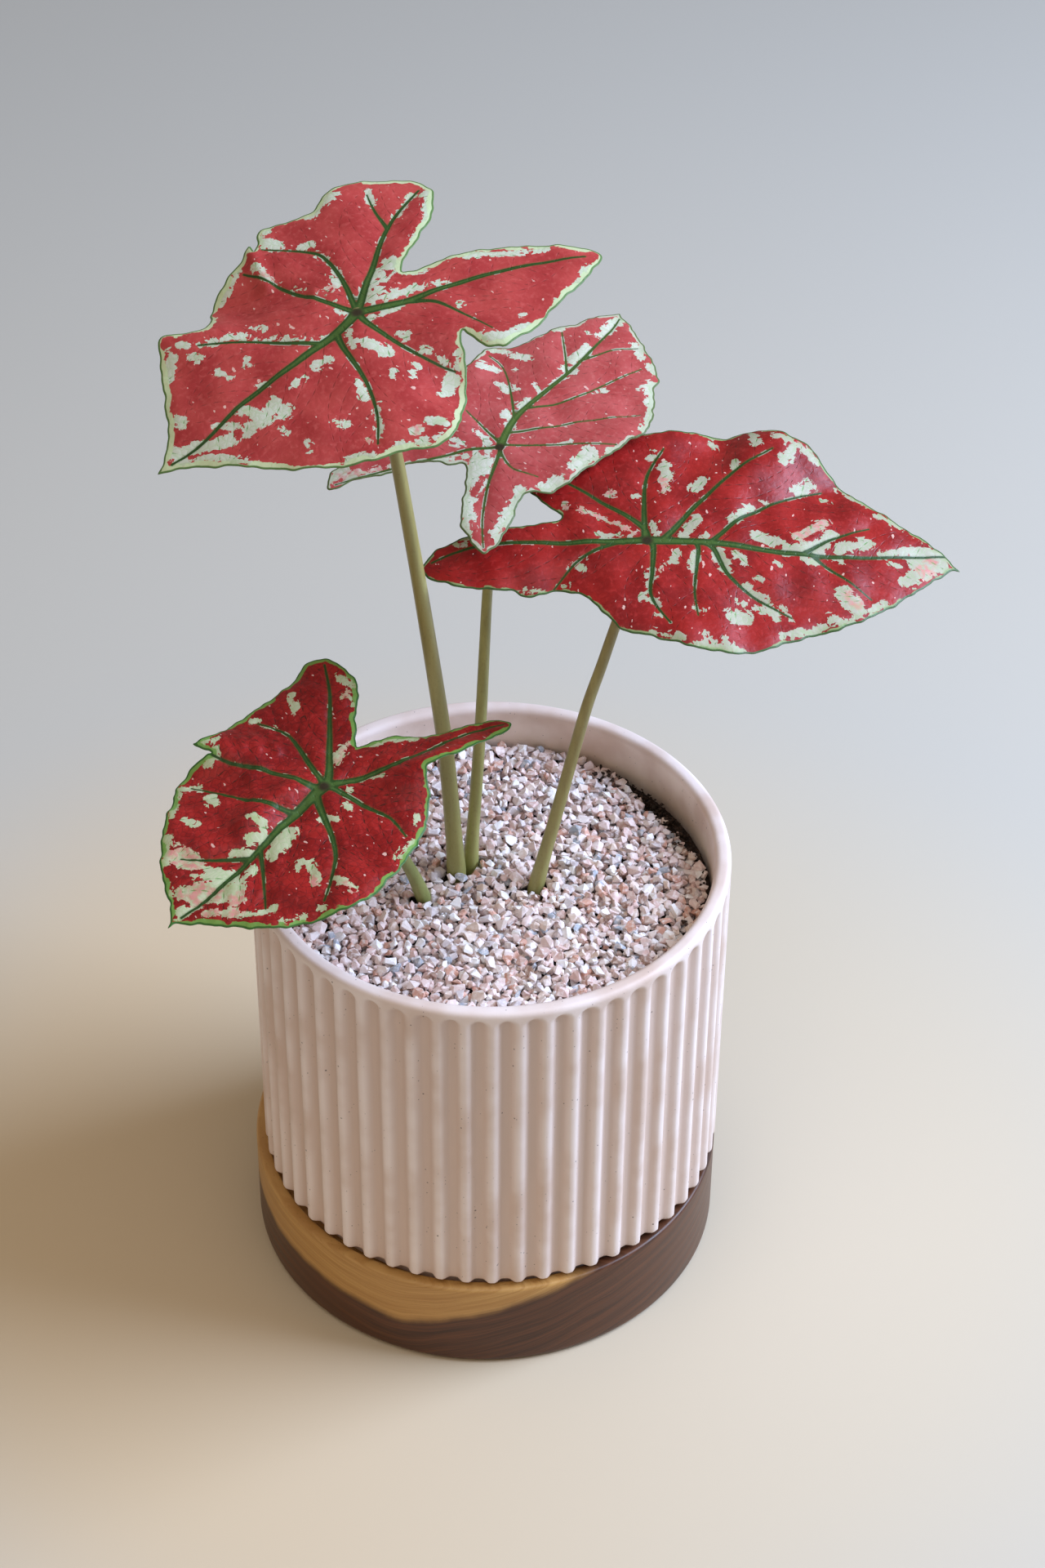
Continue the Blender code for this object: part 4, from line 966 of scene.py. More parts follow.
LOW = LeafPlan(
    name="low",
    seat=(-41.1, -32.7, 182.3),
    tilt=10.0,
    tilt_heading=-110.0,
    midrib_heading=-134.1,
    tip_droop=0.12,
    lobe_droop=0.02,
    arch=0.06,
    margin=(
        (55.1, 0.5), (53, 1.1), (50.8, 4), (46.9, 10), (42.2, 17.6), (37.7, 23.2), (32.7, 27.2),
        (27.1, 31), (19.1, 34.1), (10.6, 34), (3, 32.4), (-4.7, 29.9), (-10.1, 26.9),
        (-13.9, 24), (-16.8, 21), (-18.7, 18.7), (-19.6, 17.6), (-20.9, 17.8), (-23.8, 18.9),
        (-28.2, 20.3), (-37, 21), (-43.9, 21.5), (-47.4, 20.5), (-47.7, 18.3), (-46.2, 16.3),
        (-42.2, 13.9), (-36, 11), (-29.5, 7.4), (-23.4, 1.1), (-19.2, -1.6), (-16.4, -3.3),
        (-15.6, -4.3), (-17.5, -6.5), (-19.5, -8.5), (-24, -12.9), (-28.9, -17), (-30.9, -23),
        (-29.5, -30.1), (-24.8, -32.8), (-18.6, -31.8), (-11.3, -32.9), (-5.6, -33.3),
        (1.7, -33.7), (7.5, -33.4), (11.5, -34.8), (13, -35.4), (12.1, -32.7), (11.4, -29.9),
        (12.3, -30.6), (14.8, -31.5), (17.5, -32), (22.5, -31.5), (28.8, -26.9), (33.3, -24.2),
        (39.5, -18.9), (44.1, -14), (47, -9.7), (49.6, -5.1), (52.6, -1),
    ),
    pleats=(
        Pleat(11, -38, 6, 4.0), Pleat(20, -29, 7, -2.5), Pleat(-24, 20, 9, 6.0),
        Pleat(-33, -31, 14, 4.0), Pleat(20, 33, 12, 2.0),
    ),
    stalk=(
        (-17.3, -6.1, 123.0), (-20.9, -9.3, 136.0), (-26.6, -15.2, 152.0),
        (-33.4, -22.9, 167.6),
    ),
    stalk_foot=(-12.0, -3.2),
    foot_radius=1.8,
    neck_radius=1.3,
    veins=(
        Vein(3.46, 0.58, (0, 0), (11.5, 0.5), (26, 2), (41, 2.5), (51, 1)),
        Vein(2.69, 0.44, (0, 0), (-3.5, -2), (-14.5, -13), (-22.5, -21), (-28, -28.5)),
        Vein(2.69, 0.44, (0, 0), (-3.5, 1.5), (-10.5, 5.5), (-20.5, 11.5), (-36.5, 15), (-46, 19)),
        Vein(2.05, 0.44, (0, 0), (-1.5, -3.5), (-5, -14.5), (-6.5, -21.5), (-4, -29)),
        Vein(2.3, 0.44, (0, 0), (2.5, -3), (5.5, -14.5), (10, -24), (12, -31)),
        Vein(1.79, 0.44, (9.5, 0.5), (11.5, -1.5), (15, -9.5), (18, -20), (21, -28)),
        Vein(2.05, 0.44, (0, 0), (-1.5, 3), (-3, 12.5), (-4, 20), (-2.5, 27)),
        Vein(2.43, 0.44, (2.5, 0), (4.5, 2.5), (10.5, 14), (16, 20.5), (25.5, 26.5)),
        Vein(1.41, 0.36, (24, 1.5), (30, 9), (36, 16)),
        Vein(1.41, 0.36, (28, 2), (34, -5), (39, -12)),
    ),
    cream=(
        Stroke(4.9, (39, -10.5), (38, -2), (35, 2.5)),
        Stroke(4.9, (46, -3.5), (42.5, 0), (39, 2.5)), Stroke(3.1, (50.5, 0), (46, 2)),
        Stroke(3.1, (24.5, -1.5), (19.5, 2.5)), Stroke(2.9, (30, -2.5), (26.5, 1.5)),
        Stroke(1.8, (20, -4.5), (19, -1)), Stroke(1.6, (20, -6), (19.5, -5.5)),
        Stroke(3.1, (21, -21), (21.5, -18.5)), Stroke(1.6, (30.5, -19.5), (29, -16)),
        Stroke(2, (23, -30.5), (22, -28)), Stroke(1.6, (19, -27), (20.5, -25)),
        Stroke(4.5, (23.5, 5.5), (20, 5), (16, 4)), Stroke(2.5, (34, 5.5), (30, 5)),
        Stroke(5.4, (40, 5), (37.5, 6.5)), Stroke(2.2, (20, 14.5), (22, 21)),
        Stroke(2.2, (23.5, 14), (21.5, 13.5)), Stroke(2, (19.5, 24), (18, 30)),
        Stroke(2, (44.5, 7.5), (39.5, 15), (35, 18)), Stroke(1.8, (36.5, 22), (32, 25.5)),
        Stroke(1.8, (28, 27), (27.5, 28)), Stroke(2.2, (31, -24), (25, -29.5)),
        Stroke(2, (37, -19), (42.5, -14)), Stroke(1.6, (46.5, -8.5), (51, -3)),
        Stroke(2.7, (13.5, -29), (10.5, -29)), Stroke(2.2, (11.5, -33.5), (8.5, -32)),
        Stroke(2.7, (-28, -22.5), (-28, -18.5)), Stroke(1.6, (-25.5, -17.5), (-24.5, -14)),
        Stroke(1.8, (-15.5, -28), (-13, -24)), Stroke(1.3, (-3.5, -30.5), (-4.5, -29.5)),
        Stroke(1.3, (-4.5, -26.5), (-5.5, -25)), Stroke(1.3, (-7.5, -5), (-12.5, -6.5)),
        Stroke(2, (-18.5, -1), (-22.5, 2), (-26.5, 6)), Stroke(1.3, (-8, 4.5), (-12, 9)),
        Stroke(1.3, (-3, 4), (-4, 6)), Stroke(1.6, (0.5, 8), (0.5, 10)),
        Stroke(1.8, (7.5, 6.5), (5.5, 10)), Stroke(1.6, (4, 30.5), (-2.5, 30)),
        Stroke(1.3, (-9, 24.5), (-7.5, 26)),
    ),
    blush=(
        Stroke(5.8, (38.5, -13), (38, -8)), Stroke(5.4, (45.5, -2.5), (41.5, 2.5)),
        Stroke(3.1, (40, 8), (38, 9)), Stroke(2, (46.5, 5), (40.5, 12.5)),
        Stroke(1.8, (22.5, 19.5), (23.5, 22)), Stroke(1.6, (19, 27.5), (19, 30.5)),
        Stroke(1.8, (-26, -17.5), (-23.5, -17.5)), Stroke(1.8, (-8, -3.5), (-15, -6)),
    ),
    islands=(
        Stroke(2, (44.5, -9), (39, -5)), Stroke(1.1, (38, -9), (37, -8)),
        Stroke(1.3, (32.5, -5.5), (32, 0)), Stroke(1.6, (47, -7.5), (45.5, -8.5)),
    ),
    blade_finish=BladeFinish(
        "red blade low", band=(0.5, 1.5), band_colour=(112, 158, 74), outline=0.14,
        cream=(185, 190, 155), cream_green=(148, 168, 99), rim=(52, 100, 38),
        net_depth=0.5, side_depth=0.9, **DEEP_RED
    ),
    stalk_finish=StalkFinish("olive stalk low", (146, 152, 92), (122, 130, 74)),
    crinkle=0.35,
    quilt=((0.9, 2.2), (0.25, 1.1)),
    swells=(
        Swell(2.2, 4.4, (5, -6), (14, -6.5), (22, -6)), Swell(0.7, 1.5, (1, -25), (2.5, -22)),
        Swell(0.6, 1.2, (4, -27), (4.5, -25)), Swell(0.7, 1.4, (-1, -19.5), (0, -17.5)),
        Swell(0.6, 1.3, (5, -20), (6, -17)), Swell(0.5, 1.2, (-4, -25), (-3, -23)),
        Swell(0.6, 1.6, (10, -17), (11, -14)), Swell(0.5, 1.5, (13, -12), (14, -10.5)),
    ),
    seed=14,
)
LEAVES = (TALL, BACK, RIGHT, LOW)


def catmull(points: tuple | list | np.ndarray, steps: int, closed: bool) -> np.ndarray:
    """Catmull-Rom curve through points.

    Args:
        points: The points, in two or three numbers each.
        steps: Steps between each pair.
        closed: Whether the curve comes back to its start.

    Returns:
        The curve's points, one row each.
    """
    given = np.array(points, float)
    if closed:
        start, end = given, np.roll(given, -1, axis=0)
        before, after = np.roll(given, 1, axis=0), np.roll(given, -2, axis=0)
    else:
        start, end = given[:-1], given[1:]
        before = np.vstack([given[:1], given[:-2]])
        after = np.vstack([given[2:], given[-1:]])
    t = (np.arange(steps) / steps)[None, :, None]
    start, end, before, after = (side[:, None, :] for side in (start, end, before, after))
    curve = 2 * start + (end - before) * t
    curve = curve + (2 * before - 5 * start + 4 * end - after) * t**2
    curve = curve + (3 * start - before - 3 * end + after) * t**3
    curve = (curve / 2).reshape(-1, given.shape[1])
    return curve if closed else np.vstack([curve, given[-1:]])


def even_steps(line: np.ndarray, step: float) -> np.ndarray:
    """Points at about even steps along a line."""
    legs = np.linalg.norm(np.diff(line, axis=0), axis=1)
    run = np.concatenate([[0.0], np.cumsum(legs)])
    marks = np.linspace(0.0, run[-1], max(2, round(run[-1] / step) + 1))
    return np.stack([np.interp(marks, run, part) for part in line.T], axis=1)


def sideways(line: np.ndarray, closed: bool) -> np.ndarray:
    """Unit vectors to the left of a flat line at each of its points."""
    if closed:
        heading = np.roll(line, -1, axis=0) - np.roll(line, 1, axis=0)
    else:
        heading = np.gradient(line, axis=0)
    left = np.stack([-heading[:, 1], heading[:, 0]], axis=1)
    return left / np.maximum(np.linalg.norm(left, axis=1), 1e-9)[:, None]


def depth_inside(spots: np.ndarray, samples: np.ndarray, halves: np.ndarray) -> tuple:
    """How far each spot is inside the nearest of some discs.

    Args:
        spots: Flat points to ask about.
        samples: The discs' centres.
        halves: The discs' radii.

    Returns:
        The depth of each spot, negative outside, and the number of the disc.
    """
    depth = np.empty(len(spots))
    which = np.empty(len(spots), int)
    for first in range(0, len(spots), FIELD_CHUNK):
        block = slice(first, first + FIELD_CHUNK)
        away = np.hypot(
            spots[block, None, 0] - samples[None, :, 0],
            spots[block, None, 1] - samples[None, :, 1],
        )
        inside = halves[None, :] - away
        which[block] = inside.argmax(axis=1)
        depth[block] = inside.max(axis=1)
    return depth, which


def within(spots: np.ndarray, loop: np.ndarray) -> np.ndarray:
    """Whether each flat spot is inside a closed outline."""
    odd = np.zeros(len(spots), bool)
    for (ax, ay), (bx, by) in zip(loop, np.roll(loop, -1, axis=0)):
        if ay == by:
            continue
        spans = (ay > spots[:, 1]) != (by > spots[:, 1])
        crossing = ax + (spots[:, 1] - ay) * (bx - ax) / (by - ay)
        odd ^= spans & (spots[:, 0] < crossing)
    return odd


def keep_apart(fixed: np.ndarray, spots: np.ndarray, clear: float) -> np.ndarray:
    """Drops each spot that comes too near a fixed one or one kept before it.

    Args:
        fixed: Spots that stay.
        spots: Spots in the order of their importance.
        clear: Least distance between two.

    Returns:
        The kept spots.
    """
    taken: dict[tuple[int, int], list] = {}
    kept = []
    for number, (x, y) in enumerate(np.vstack([fixed, spots])):
        cell = (int(x // clear), int(y // clear))
        around = (
            other
            for dx in (-1, 0, 1)
            for dy in (-1, 0, 1)
            for other in taken.get((cell[0] + dx, cell[1] + dy), ())
        )
        if number >= len(fixed):
            if any((x - ox) ** 2 + (y - oy) ** 2 < clear * clear for ox, oy in around):
                continue
            kept.append((x, y))
        taken.setdefault(cell, []).append((x, y))
    return np.array(kept)


def add_piece(name: str, mesh: bpy.types.Mesh, material: bpy.types.Material) -> bpy.types.Object:
    """Adds an object with one material at the origin."""
    piece = bpy.data.objects.new(name, mesh)
    bpy.context.scene.collection.objects.link(piece)
    piece.data.materials.clear()
    piece.data.materials.append(material)
    return piece


def plain_mesh(name: str, places: np.ndarray, faces: list) -> bpy.types.Mesh:
    """A smooth mesh from places in millimetres."""
    mesh = bpy.data.meshes.new(name)
    mesh.from_pydata((np.asarray(places) * MM).tolist(), [], faces)
    mesh.shade_smooth()
    return mesh


def note(mesh: bpy.types.Mesh, name: str, values: np.ndarray) -> None:
    """Keeps a number or a vector for each vertex as a named attribute."""
    values = np.asarray(values, np.float32)
    kind, key = ("FLOAT_VECTOR", "vector") if values.ndim == 2 else ("FLOAT", "value")
    mesh.attributes.new(name, kind, "POINT").data.foreach_set(key, values.ravel())


def hand_over(piece: bpy.types.Object, slot: Slot, *nodes: str) -> bpy.types.Object:
    """Gives a finished piece to the frame.

    Args:
        piece: The piece, in place.
        slot: The record's material slot that it takes; not used.
        *nodes: The CAD nodes that it stands for.

    Returns:
        The same piece.
    """
    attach(piece, "root")
    if nodes:
        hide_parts(*nodes)
    triangles = sum(len(face.vertices) - 2 for face in piece.data.polygons)
    stands_for = ", ".join(nodes) or "nothing"
    log.info("%s: %d triangles, stands for %s", piece.name, triangles, stands_for)
    return piece


def arc(centre: Point, radius: float, start: float, end: float, steps: int = 6) -> list[Point]:
    """Points of a round corner in a turned profile, between two angles in degrees."""
    points = []
    for step in range(steps + 1):
        angle = math.radians(start + (end - start) * step / steps)
        points.append((centre[0] + radius * math.cos(angle), centre[1] + radius * math.sin(angle)))
    return points


def revolve(profile: list[Point], segments: int, ring: bool) -> tuple[np.ndarray, list]:
    """Turns a profile of (radius, height) points, which runs up its outer side, round Z.

    Args:
        profile: The points. One at radius zero becomes a pole.
        segments: Steps round the circle.
        ring: Whether the profile comes back to its start.

    Returns:
        The places and the faces.
    """
    places: list[Place] = []
    rows = []
    angles = [2 * math.pi * step / segments for step in range(segments)]
    for radius, height in profile:
        if radius < 1e-6:
            rows.append([len(places)] * segments)
            places.append((0.0, 0.0, height))
            continue
        rows.append(list(range(len(places), len(places) + segments)))
        places += [(radius * math.cos(a), radius * math.sin(a), height) for a in angles]
    upper = rows[1:] + rows[:1] if ring else rows[1:]
    faces = []
    for low, high in zip(rows, upper):
        for step in range(segments):
            after = (step + 1) % segments
            corners = (low[step], low[after], high[after], high[step])
            faces.append(tuple(dict.fromkeys(corners)))
    return np.array(places), faces


def set_inputs(modifier: bpy.types.NodesModifier, values: dict) -> None:
    """Sets a Geometry Nodes modifier's inputs by the identifiers of their sockets."""
    for item in modifier.node_group.interface.items_tree:
        if item.item_type == "SOCKET" and item.name in values:
            modifier[item.identifier] = values[item.name]


def bake(obj: bpy.types.Object, tree: bpy.types.NodeTree, values: dict) -> bpy.types.Mesh:
    """Runs a Geometry Nodes tree on an object and gives the plain mesh.

    Args:
        obj: The object to run it on.
        tree: The tree.
        values: Its inputs by name.

    Returns:
        The new mesh. The object keeps no modifier.
    """
    modifier = obj.modifiers.new("nodes", "NODES")
    modifier.node_group = tree
    set_inputs(modifier, values)
    graph = bpy.context.evaluated_depsgraph_get()
    graph.update()
    mesh = bpy.data.meshes.new_from_object(obj.evaluated_get(graph))
    obj.modifiers.remove(modifier)
    return mesh


class Tree(Board):
    """A Geometry Nodes tree with named inputs."""

    def __init__(self, name: str, inputs: dict[str, str]) -> None:
        """Makes the tree and its sockets.

        Args:
            name: The tree's name.
            inputs: Socket kind by input name, after the geometry.
        """
        super().__init__(bpy.data.node_groups.new(name, "GeometryNodeTree"))
        face = self.tree.interface
        face.new_socket("Geometry", in_out="INPUT", socket_type="NodeSocketGeometry")
        for label, kind in inputs.items():
            face.new_socket(label, in_out="INPUT", socket_type="NodeSocket" + kind)
        face.new_socket("Geometry", in_out="OUTPUT", socket_type="NodeSocketGeometry")
        self.given = self.add("NodeGroupInput").outputs

    def close(self, shape: bpy.types.NodeSocket) -> bpy.types.NodeTree:
        """Ends the tree in Realize Instances and Set Material."""
        real = self.add("GeometryNodeRealizeInstances", {0: shape}).outputs[0]
        painted = self.add("GeometryNodeSetMaterial", {0: real, "Material": self.given["Material"]})
        self.add("NodeGroupOutput", {0: painted.outputs[0]})
        return self.tree

    def draw(self, kind: str, low: object, high: object, seed: object) -> bpy.types.NodeSocket:
        """A Random Value node of kind FLOAT_VECTOR, FLOAT or INT."""
        first = {"FLOAT_VECTOR": 0, "FLOAT": 2, "INT": 4}[kind]
        node = self.add(
            "FunctionNodeRandomValue",
            {first: low, first + 1: high, "Seed": seed},
            data_type=kind,
        )
        return node.outputs[first // 2]


@dataclass(frozen=True)
class TurnedBase:
    """The turned wood base with a low lip round the recess for the pot's foot."""

    radius: float = 66.7
    height: float = 30.0
    foot_round: float = 2.4
    lip_round: float = 1.0
    recess_radius: float = 63.0
    recess_depth: float = 3.0
    segments: int = 192
    # Height of the sapwood's lower border, by azimuth in degrees
    sap_border: tuple = (
        (-180, 18.5), (-160, 17.3), (-142, 17.0), (-126, 15.6), (-110, 13.9), (-92, 20.3),
        (-76, 26.7), (-60, 32.0), (-30, 38.0), (20, 42.0), (90, 41.0), (140, 32.0),
        (165, 22.0), (180, 18.5),
    )

    def border_height(self, azimuth: np.ndarray) -> np.ndarray:
        """Height of the sapwood's border in the directions given in degrees."""
        marks, heights = catmull(self.sap_border, 10, closed=False).T
        return np.interp(azimuth, marks, heights)

    def profile(self) -> list[Point]:
        """Outline of the turned block, from the middle of its underside to its recess."""
        floor = self.height - self.recess_depth
        lip = self.radius - self.lip_round
        foot = self.radius - self.foot_round
        points = [(0.0, 0.0), (30.0, 0.0)]
        points += arc((foot, self.foot_round), self.foot_round, -90, 0)
        points += [(self.radius, height) for height in (6.0, 12.0, 18.0, 24.0)]
        points += arc((lip, self.height - self.lip_round), self.lip_round, 0, 90)
        points += arc((self.recess_radius + 0.5, self.height - 0.5), 0.5, 90, 180, 3)
        points += [(self.recess_radius, floor), (self.recess_radius - 8.0, floor)]
        points += [(30.0, floor), (0.0, floor)]
        return points

    def build(self) -> bpy.types.Object:
        """Builds and dresses the base."""
        places, faces = revolve(self.profile(), self.segments, ring=False)
        mesh = plain_mesh("turned_base", places, faces)
        mesh.set_sharp_from_angle(angle=math.radians(50))
        azimuth = np.degrees(np.arctan2(places[:, 1], places[:, 0]))
        away = np.hypot(places[:, 0], places[:, 1]) / self.radius
        note(mesh, "sap", places[:, 2] - self.border_height(azimuth) - 10.0 * (1 - away))
        return hand_over(
            add_piece("turned_base", mesh, WoodFinish().material()), Slot.WOOD, "wood_base"
        )


@dataclass(frozen=True)
class FlutedPot:
    """The cast pot. Geometry Nodes press its flutes, which end round below the rim band."""

    radius: float = 65.4
    wall: float = 4.6
    shift: float = 1.4
    foot_radius: float = 61.3
    bottom: float = 27.3
    skirt: float = 31.1
    floor: float = 6.0
    rim: float = 134.0
    band: float = 3.0
    rim_round: float = 1.5
    bore_round: float = 2.0
    floor_round: float = 3.0
    drain: float = 5.0
    flutes: int = 56
    depth: float = 1.7
    turn: float = 1.2
    hollow_half: float = 1.95
    shoulder: float = 1.15
    points_a_flute: int = 12

    def profile(self) -> tuple[list[Point], list[bool], list[bool]]:
        """Outline of the wall as a ring.

        Returns:
            The points, which of them the flutes press, and which lie in the bore.
        """
        top = self.rim - self.band
        floor = self.bottom + self.floor
        bore = self.radius - self.wall
        under = [(self.drain, self.bottom), (30.0, self.bottom), (self.foot_radius, self.bottom)]
        under += [(self.foot_radius, self.skirt), (self.foot_radius + 1.5, self.skirt)]
        outside = arc((self.radius - 1.2, self.skirt + 1.2), 1.2, -90, 0, 5)
        outside += [(self.radius, self.skirt + step) for step in (3.0, 6.0, 20.0, 40.0, 60.0, 80.0)]
        outside += [(self.radius, top - 8.0 + 0.33 * step) for step in range(28)]
        rim = arc((self.radius - self.rim_round, self.rim - self.rim_round), self.rim_round, 0, 90)
        inside = arc((bore + self.bore_round, self.rim - self.bore_round), self.bore_round, 90, 180)
        inside += [(bore, self.rim - step) for step in (6.0, 12.0, 24.0, 50.0, 75.0)]
        inside += arc((bore - self.floor_round, floor + self.floor_round), self.floor_round, 0, -90)
        inside += [(30.0, floor), (self.drain, floor)]
        points = under + outside + rim + inside
        pressed = [False] * len(under) + [True] * len(outside)
        pressed += [False] * (len(rim) + len(inside))
        deep = [False] * (len(points) - len(inside) + 6) + [True] * (len(inside) - 6)
        return points, pressed, deep

    def tree(self) -> bpy.types.NodeTree:
        """Tree that presses the flutes into whatever the wall attribute marks."""
        sizes = ("Depth", "Hollow", "Shoulder", "Top", "Radius", "Shift", "Turn")
        tree = Tree("flutes", {"Flutes": "Int", **dict.fromkeys(sizes, "Float"),
                               "Material": "Material"})
        given = tree.given
        x, y, z = tree.split(tree.add("GeometryNodeInputPosition").outputs[0])
        x = tree.math("SUBTRACT", x, given["Shift"])
        angle = tree.math("SUBTRACT", tree.math("ARCTAN2", y, x), given["Turn"])
        phase = tree.math("MULTIPLY_ADD", angle, given["Flutes"], 1.25 * math.pi)
        share = tree.math("DIVIDE", tree.math("ARCCOSINE", tree.math("COSINE", phase)),
                          given["Flutes"])
        aside = tree.times(share, given["Radius"])
        below = tree.math("SUBTRACT", given["Top"], z)
        near_end = tree.math("MAXIMUM", tree.math("SUBTRACT", given["Hollow"], below), 0.0)
        away = tree.math("SQRT", tree.plus(tree.math("POWER", near_end, 2.0),
                                           tree.math("POWER", aside, 2.0)))
        inside = tree.math("SUBTRACT", given["Hollow"], away)
        low = tree.times(given["Shoulder"], -1.0)
        pressed = tree.ease(inside, low, given["Shoulder"])
        wall = tree.add("GeometryNodeInputNamedAttribute", {"Name": "wall"}, data_type="FLOAT")
        pressed = tree.times(pressed, wall.outputs[0])
        outward = tree.vector("NORMALIZE", tree.join(x, y, 0.0))
        push = tree.times(tree.times(pressed, given["Depth"]), -1.0)
        offset = tree.add("ShaderNodeVectorMath", {0: outward, "Scale": push}, operation="SCALE")
        stored = tree.add(
            "GeometryNodeStoreNamedAttribute",
            {"Geometry": given["Geometry"], "Name": "hollow", "Value": pressed},
            data_type="FLOAT", domain="POINT",
        )
        moved = tree.add("GeometryNodeSetPosition",
                         {0: stored.outputs[0], "Offset": offset.outputs[0]})
        return tree.close(moved.outputs[0])

    def build(self) -> bpy.types.Object:
        """Builds and dresses the pot."""
        points, pressed, deep = self.profile()
        segments = self.flutes * self.points_a_flute
        places, faces = revolve(points, segments, ring=True)
        places[:, 0] += self.shift
        mesh = plain_mesh("fluted_pot", places, faces)
        note(mesh, "wall", np.repeat(pressed, segments))
        note(mesh, "bore", np.repeat(deep, segments))
        material = CeramicFinish().material()
        piece = add_piece("fluted_pot", mesh, material)
        piece.data = bake(piece, self.tree(), {
            "Flutes": self.flutes, "Depth": self.depth * MM, "Hollow": self.hollow_half * MM,
            "Shoulder": self.shoulder * MM, "Top": (self.rim - self.band) * MM,
            "Radius": self.radius * MM, "Shift": self.shift * MM,
            "Turn": math.radians(self.turn), "Material": material,
        })
        piece.data.set_sharp_from_angle(angle=math.radians(60))
        return hand_over(piece, Slot.CERAMIC, "pot")


@dataclass(frozen=True)
class StoneLayer:
    """One layer of scattered stones: how deep, how close, and how large."""

    sink: float
    spacing: float
    smallest: float
    largest: float
    seed: int


@dataclass(frozen=True)
class GravelBed:
    """The top dressing of crushed stones, and the soil crumbs that show beside it.

    The top stones lie at the peaks of the CAD dressing, which the same seeded rule places.
    """

    shift: float = 1.4
    fill_radius: float = 60.5
    level: float = 122.6
    spacing: float = 3.8
    rise: tuple = (0.5, 2.0)
    sink: tuple = (-0.7, 0.0)
    shake: float = 0.24
    seed: int = 7
    dip_azimuth: float = 32.0
    dip_spread: float = 32.0
    dip_start: float = 50.0
    dip_depth: float = 2.4
    wall_clearance: float = 1.7
    bare_bank: float = 0.5
    stem_clearance: float = 1.5
    stone_length: float = 4.7
    stone_half_height: float = 1.1
    stone_corners: int = 12
    top_sizes: tuple = (0.62, 1.02)
    layers: tuple = (
        StoneLayer(0.5, 2.1, 0.50, 0.82, 2), StoneLayer(1.5, 2.2, 0.55, 0.85, 3),
        StoneLayer(2.7, 2.2, 0.6, 0.9, 4),
    )
    crumb_layers: tuple = (StoneLayer(-0.6, 1.0, 0.2, 0.6, 8), StoneLayer(0.9, 1.1, 0.3, 0.8, 9))
    stone_kinds: int = 12

    def bank(self, x: np.ndarray, y: np.ndarray) -> np.ndarray:
        """Share of the hollow at the right back, where the stones lie lower."""
        turn = (np.degrees(np.arctan2(y, x)) - self.dip_azimuth) / self.dip_spread
        outward = (np.hypot(x, y) - self.dip_start) / (self.fill_radius - self.dip_start)
        return np.maximum(outward, 0) * np.exp(-(turn**2))

    def surface(self, x: np.ndarray, y: np.ndarray) -> np.ndarray:
        """Height of the bed at flat places measured from the pot's axis."""
        return self.level - self.dip_depth * self.bank(x, y)

    def top_spots(self) -> np.ndarray:
        """Place of each top stone: flat place and height of its peak, measured from the axis."""
        rng = random.Random(self.seed)
        row_step = self.spacing * math.sqrt(3) / 2
        reach = int(self.fill_radius / row_step) + 2
        spots = []
        for row in range(-reach, reach + 1):
            for column in range(-reach - 2, reach + 3):
                shake = [rng.uniform(-1, 1) * self.shake * self.spacing for _ in range(6)]
                x = (column + 0.5 * (row % 2)) * self.spacing + shake[0]
                y = row * row_step + shake[1]
                spots.append((x, y, rng.uniform(*self.rise)))
                rng.uniform(*self.sink)
                rng.uniform(*self.sink)
        x, y, peak = np.array(spots).T
        kept = (np.hypot(x, y) < self.fill_radius - self.wall_clearance)
        kept &= self.stones_here(x, y) > 0
        return np.stack([x, y, self.surface(x, y) + peak], axis=1)[kept]

    def stones_here(self, x: np.ndarray, y: np.ndarray) -> np.ndarray:
        """One where stones may lie, and zero round each stalk and on the bare bank."""
        free = np.ones_like(x)
        for leaf in LEAVES:
            stem = leaf.stalk[0]
            away = np.hypot(x + self.shift - stem[0], y - stem[1])
            free[away < leaf.foot_radius + self.stem_clearance] = 0.0
        free[self.bank(x, y) > self.bare_bank] = 0.0
        return free

    def crumbs_here(self, x: np.ndarray, y: np.ndarray) -> np.ndarray:
        """Share of soil crumbs: all of the bank at the right back, and a few elsewhere."""
        return np.clip(2.2 * self.bank(x, y) - 0.35, 0.03, 1.0)

    def sheet(
        self, name: str, inner: float, opening: Callable[..., np.ndarray], top: np.ndarray
    ) -> bpy.types.Object:
        """A sheet to scatter stones on, with a loose vertex for each stone set by rule.

        Args:
            name: The object's name.
            inner: Inner radius.
            opening: Function of flat places that gives the share of stones there.
            top: Places of the stones set by rule.

        Returns:
            The sheet, which carries the attributes "open" and "peak".
        """
        outer = self.fill_radius - self.wall_clearance
        rings = np.linspace(inner, outer, max(3, round((outer - inner) / 1.5)))
        spokes = np.linspace(0, 2 * math.pi, 181)[:-1]
        radius, angle = np.meshgrid(rings, spokes, indexing="ij")
        x, y = (radius * np.cos(angle)).ravel(), (radius * np.sin(angle)).ravel()
        places = np.vstack([np.stack([x, y, self.surface(x, y)], axis=1), top])
        count = len(spokes)
        faces = []
        for ring in range(len(rings) - 1):
            for spoke in range(count):
                after = (spoke + 1) % count
                low, high = ring * count, (ring + 1) * count
                faces.append((low + spoke, high + spoke, high + after, low + after))
        mesh = plain_mesh(name, places + np.array([self.shift, 0.0, 0.0]), faces)
        note(mesh, "open", np.concatenate([opening(x, y), np.zeros(len(top))]))
        note(mesh, "peak", np.concatenate([np.zeros(len(x)), np.ones(len(top))]))
        return add_piece(name, mesh, bpy.data.materials.new(name))

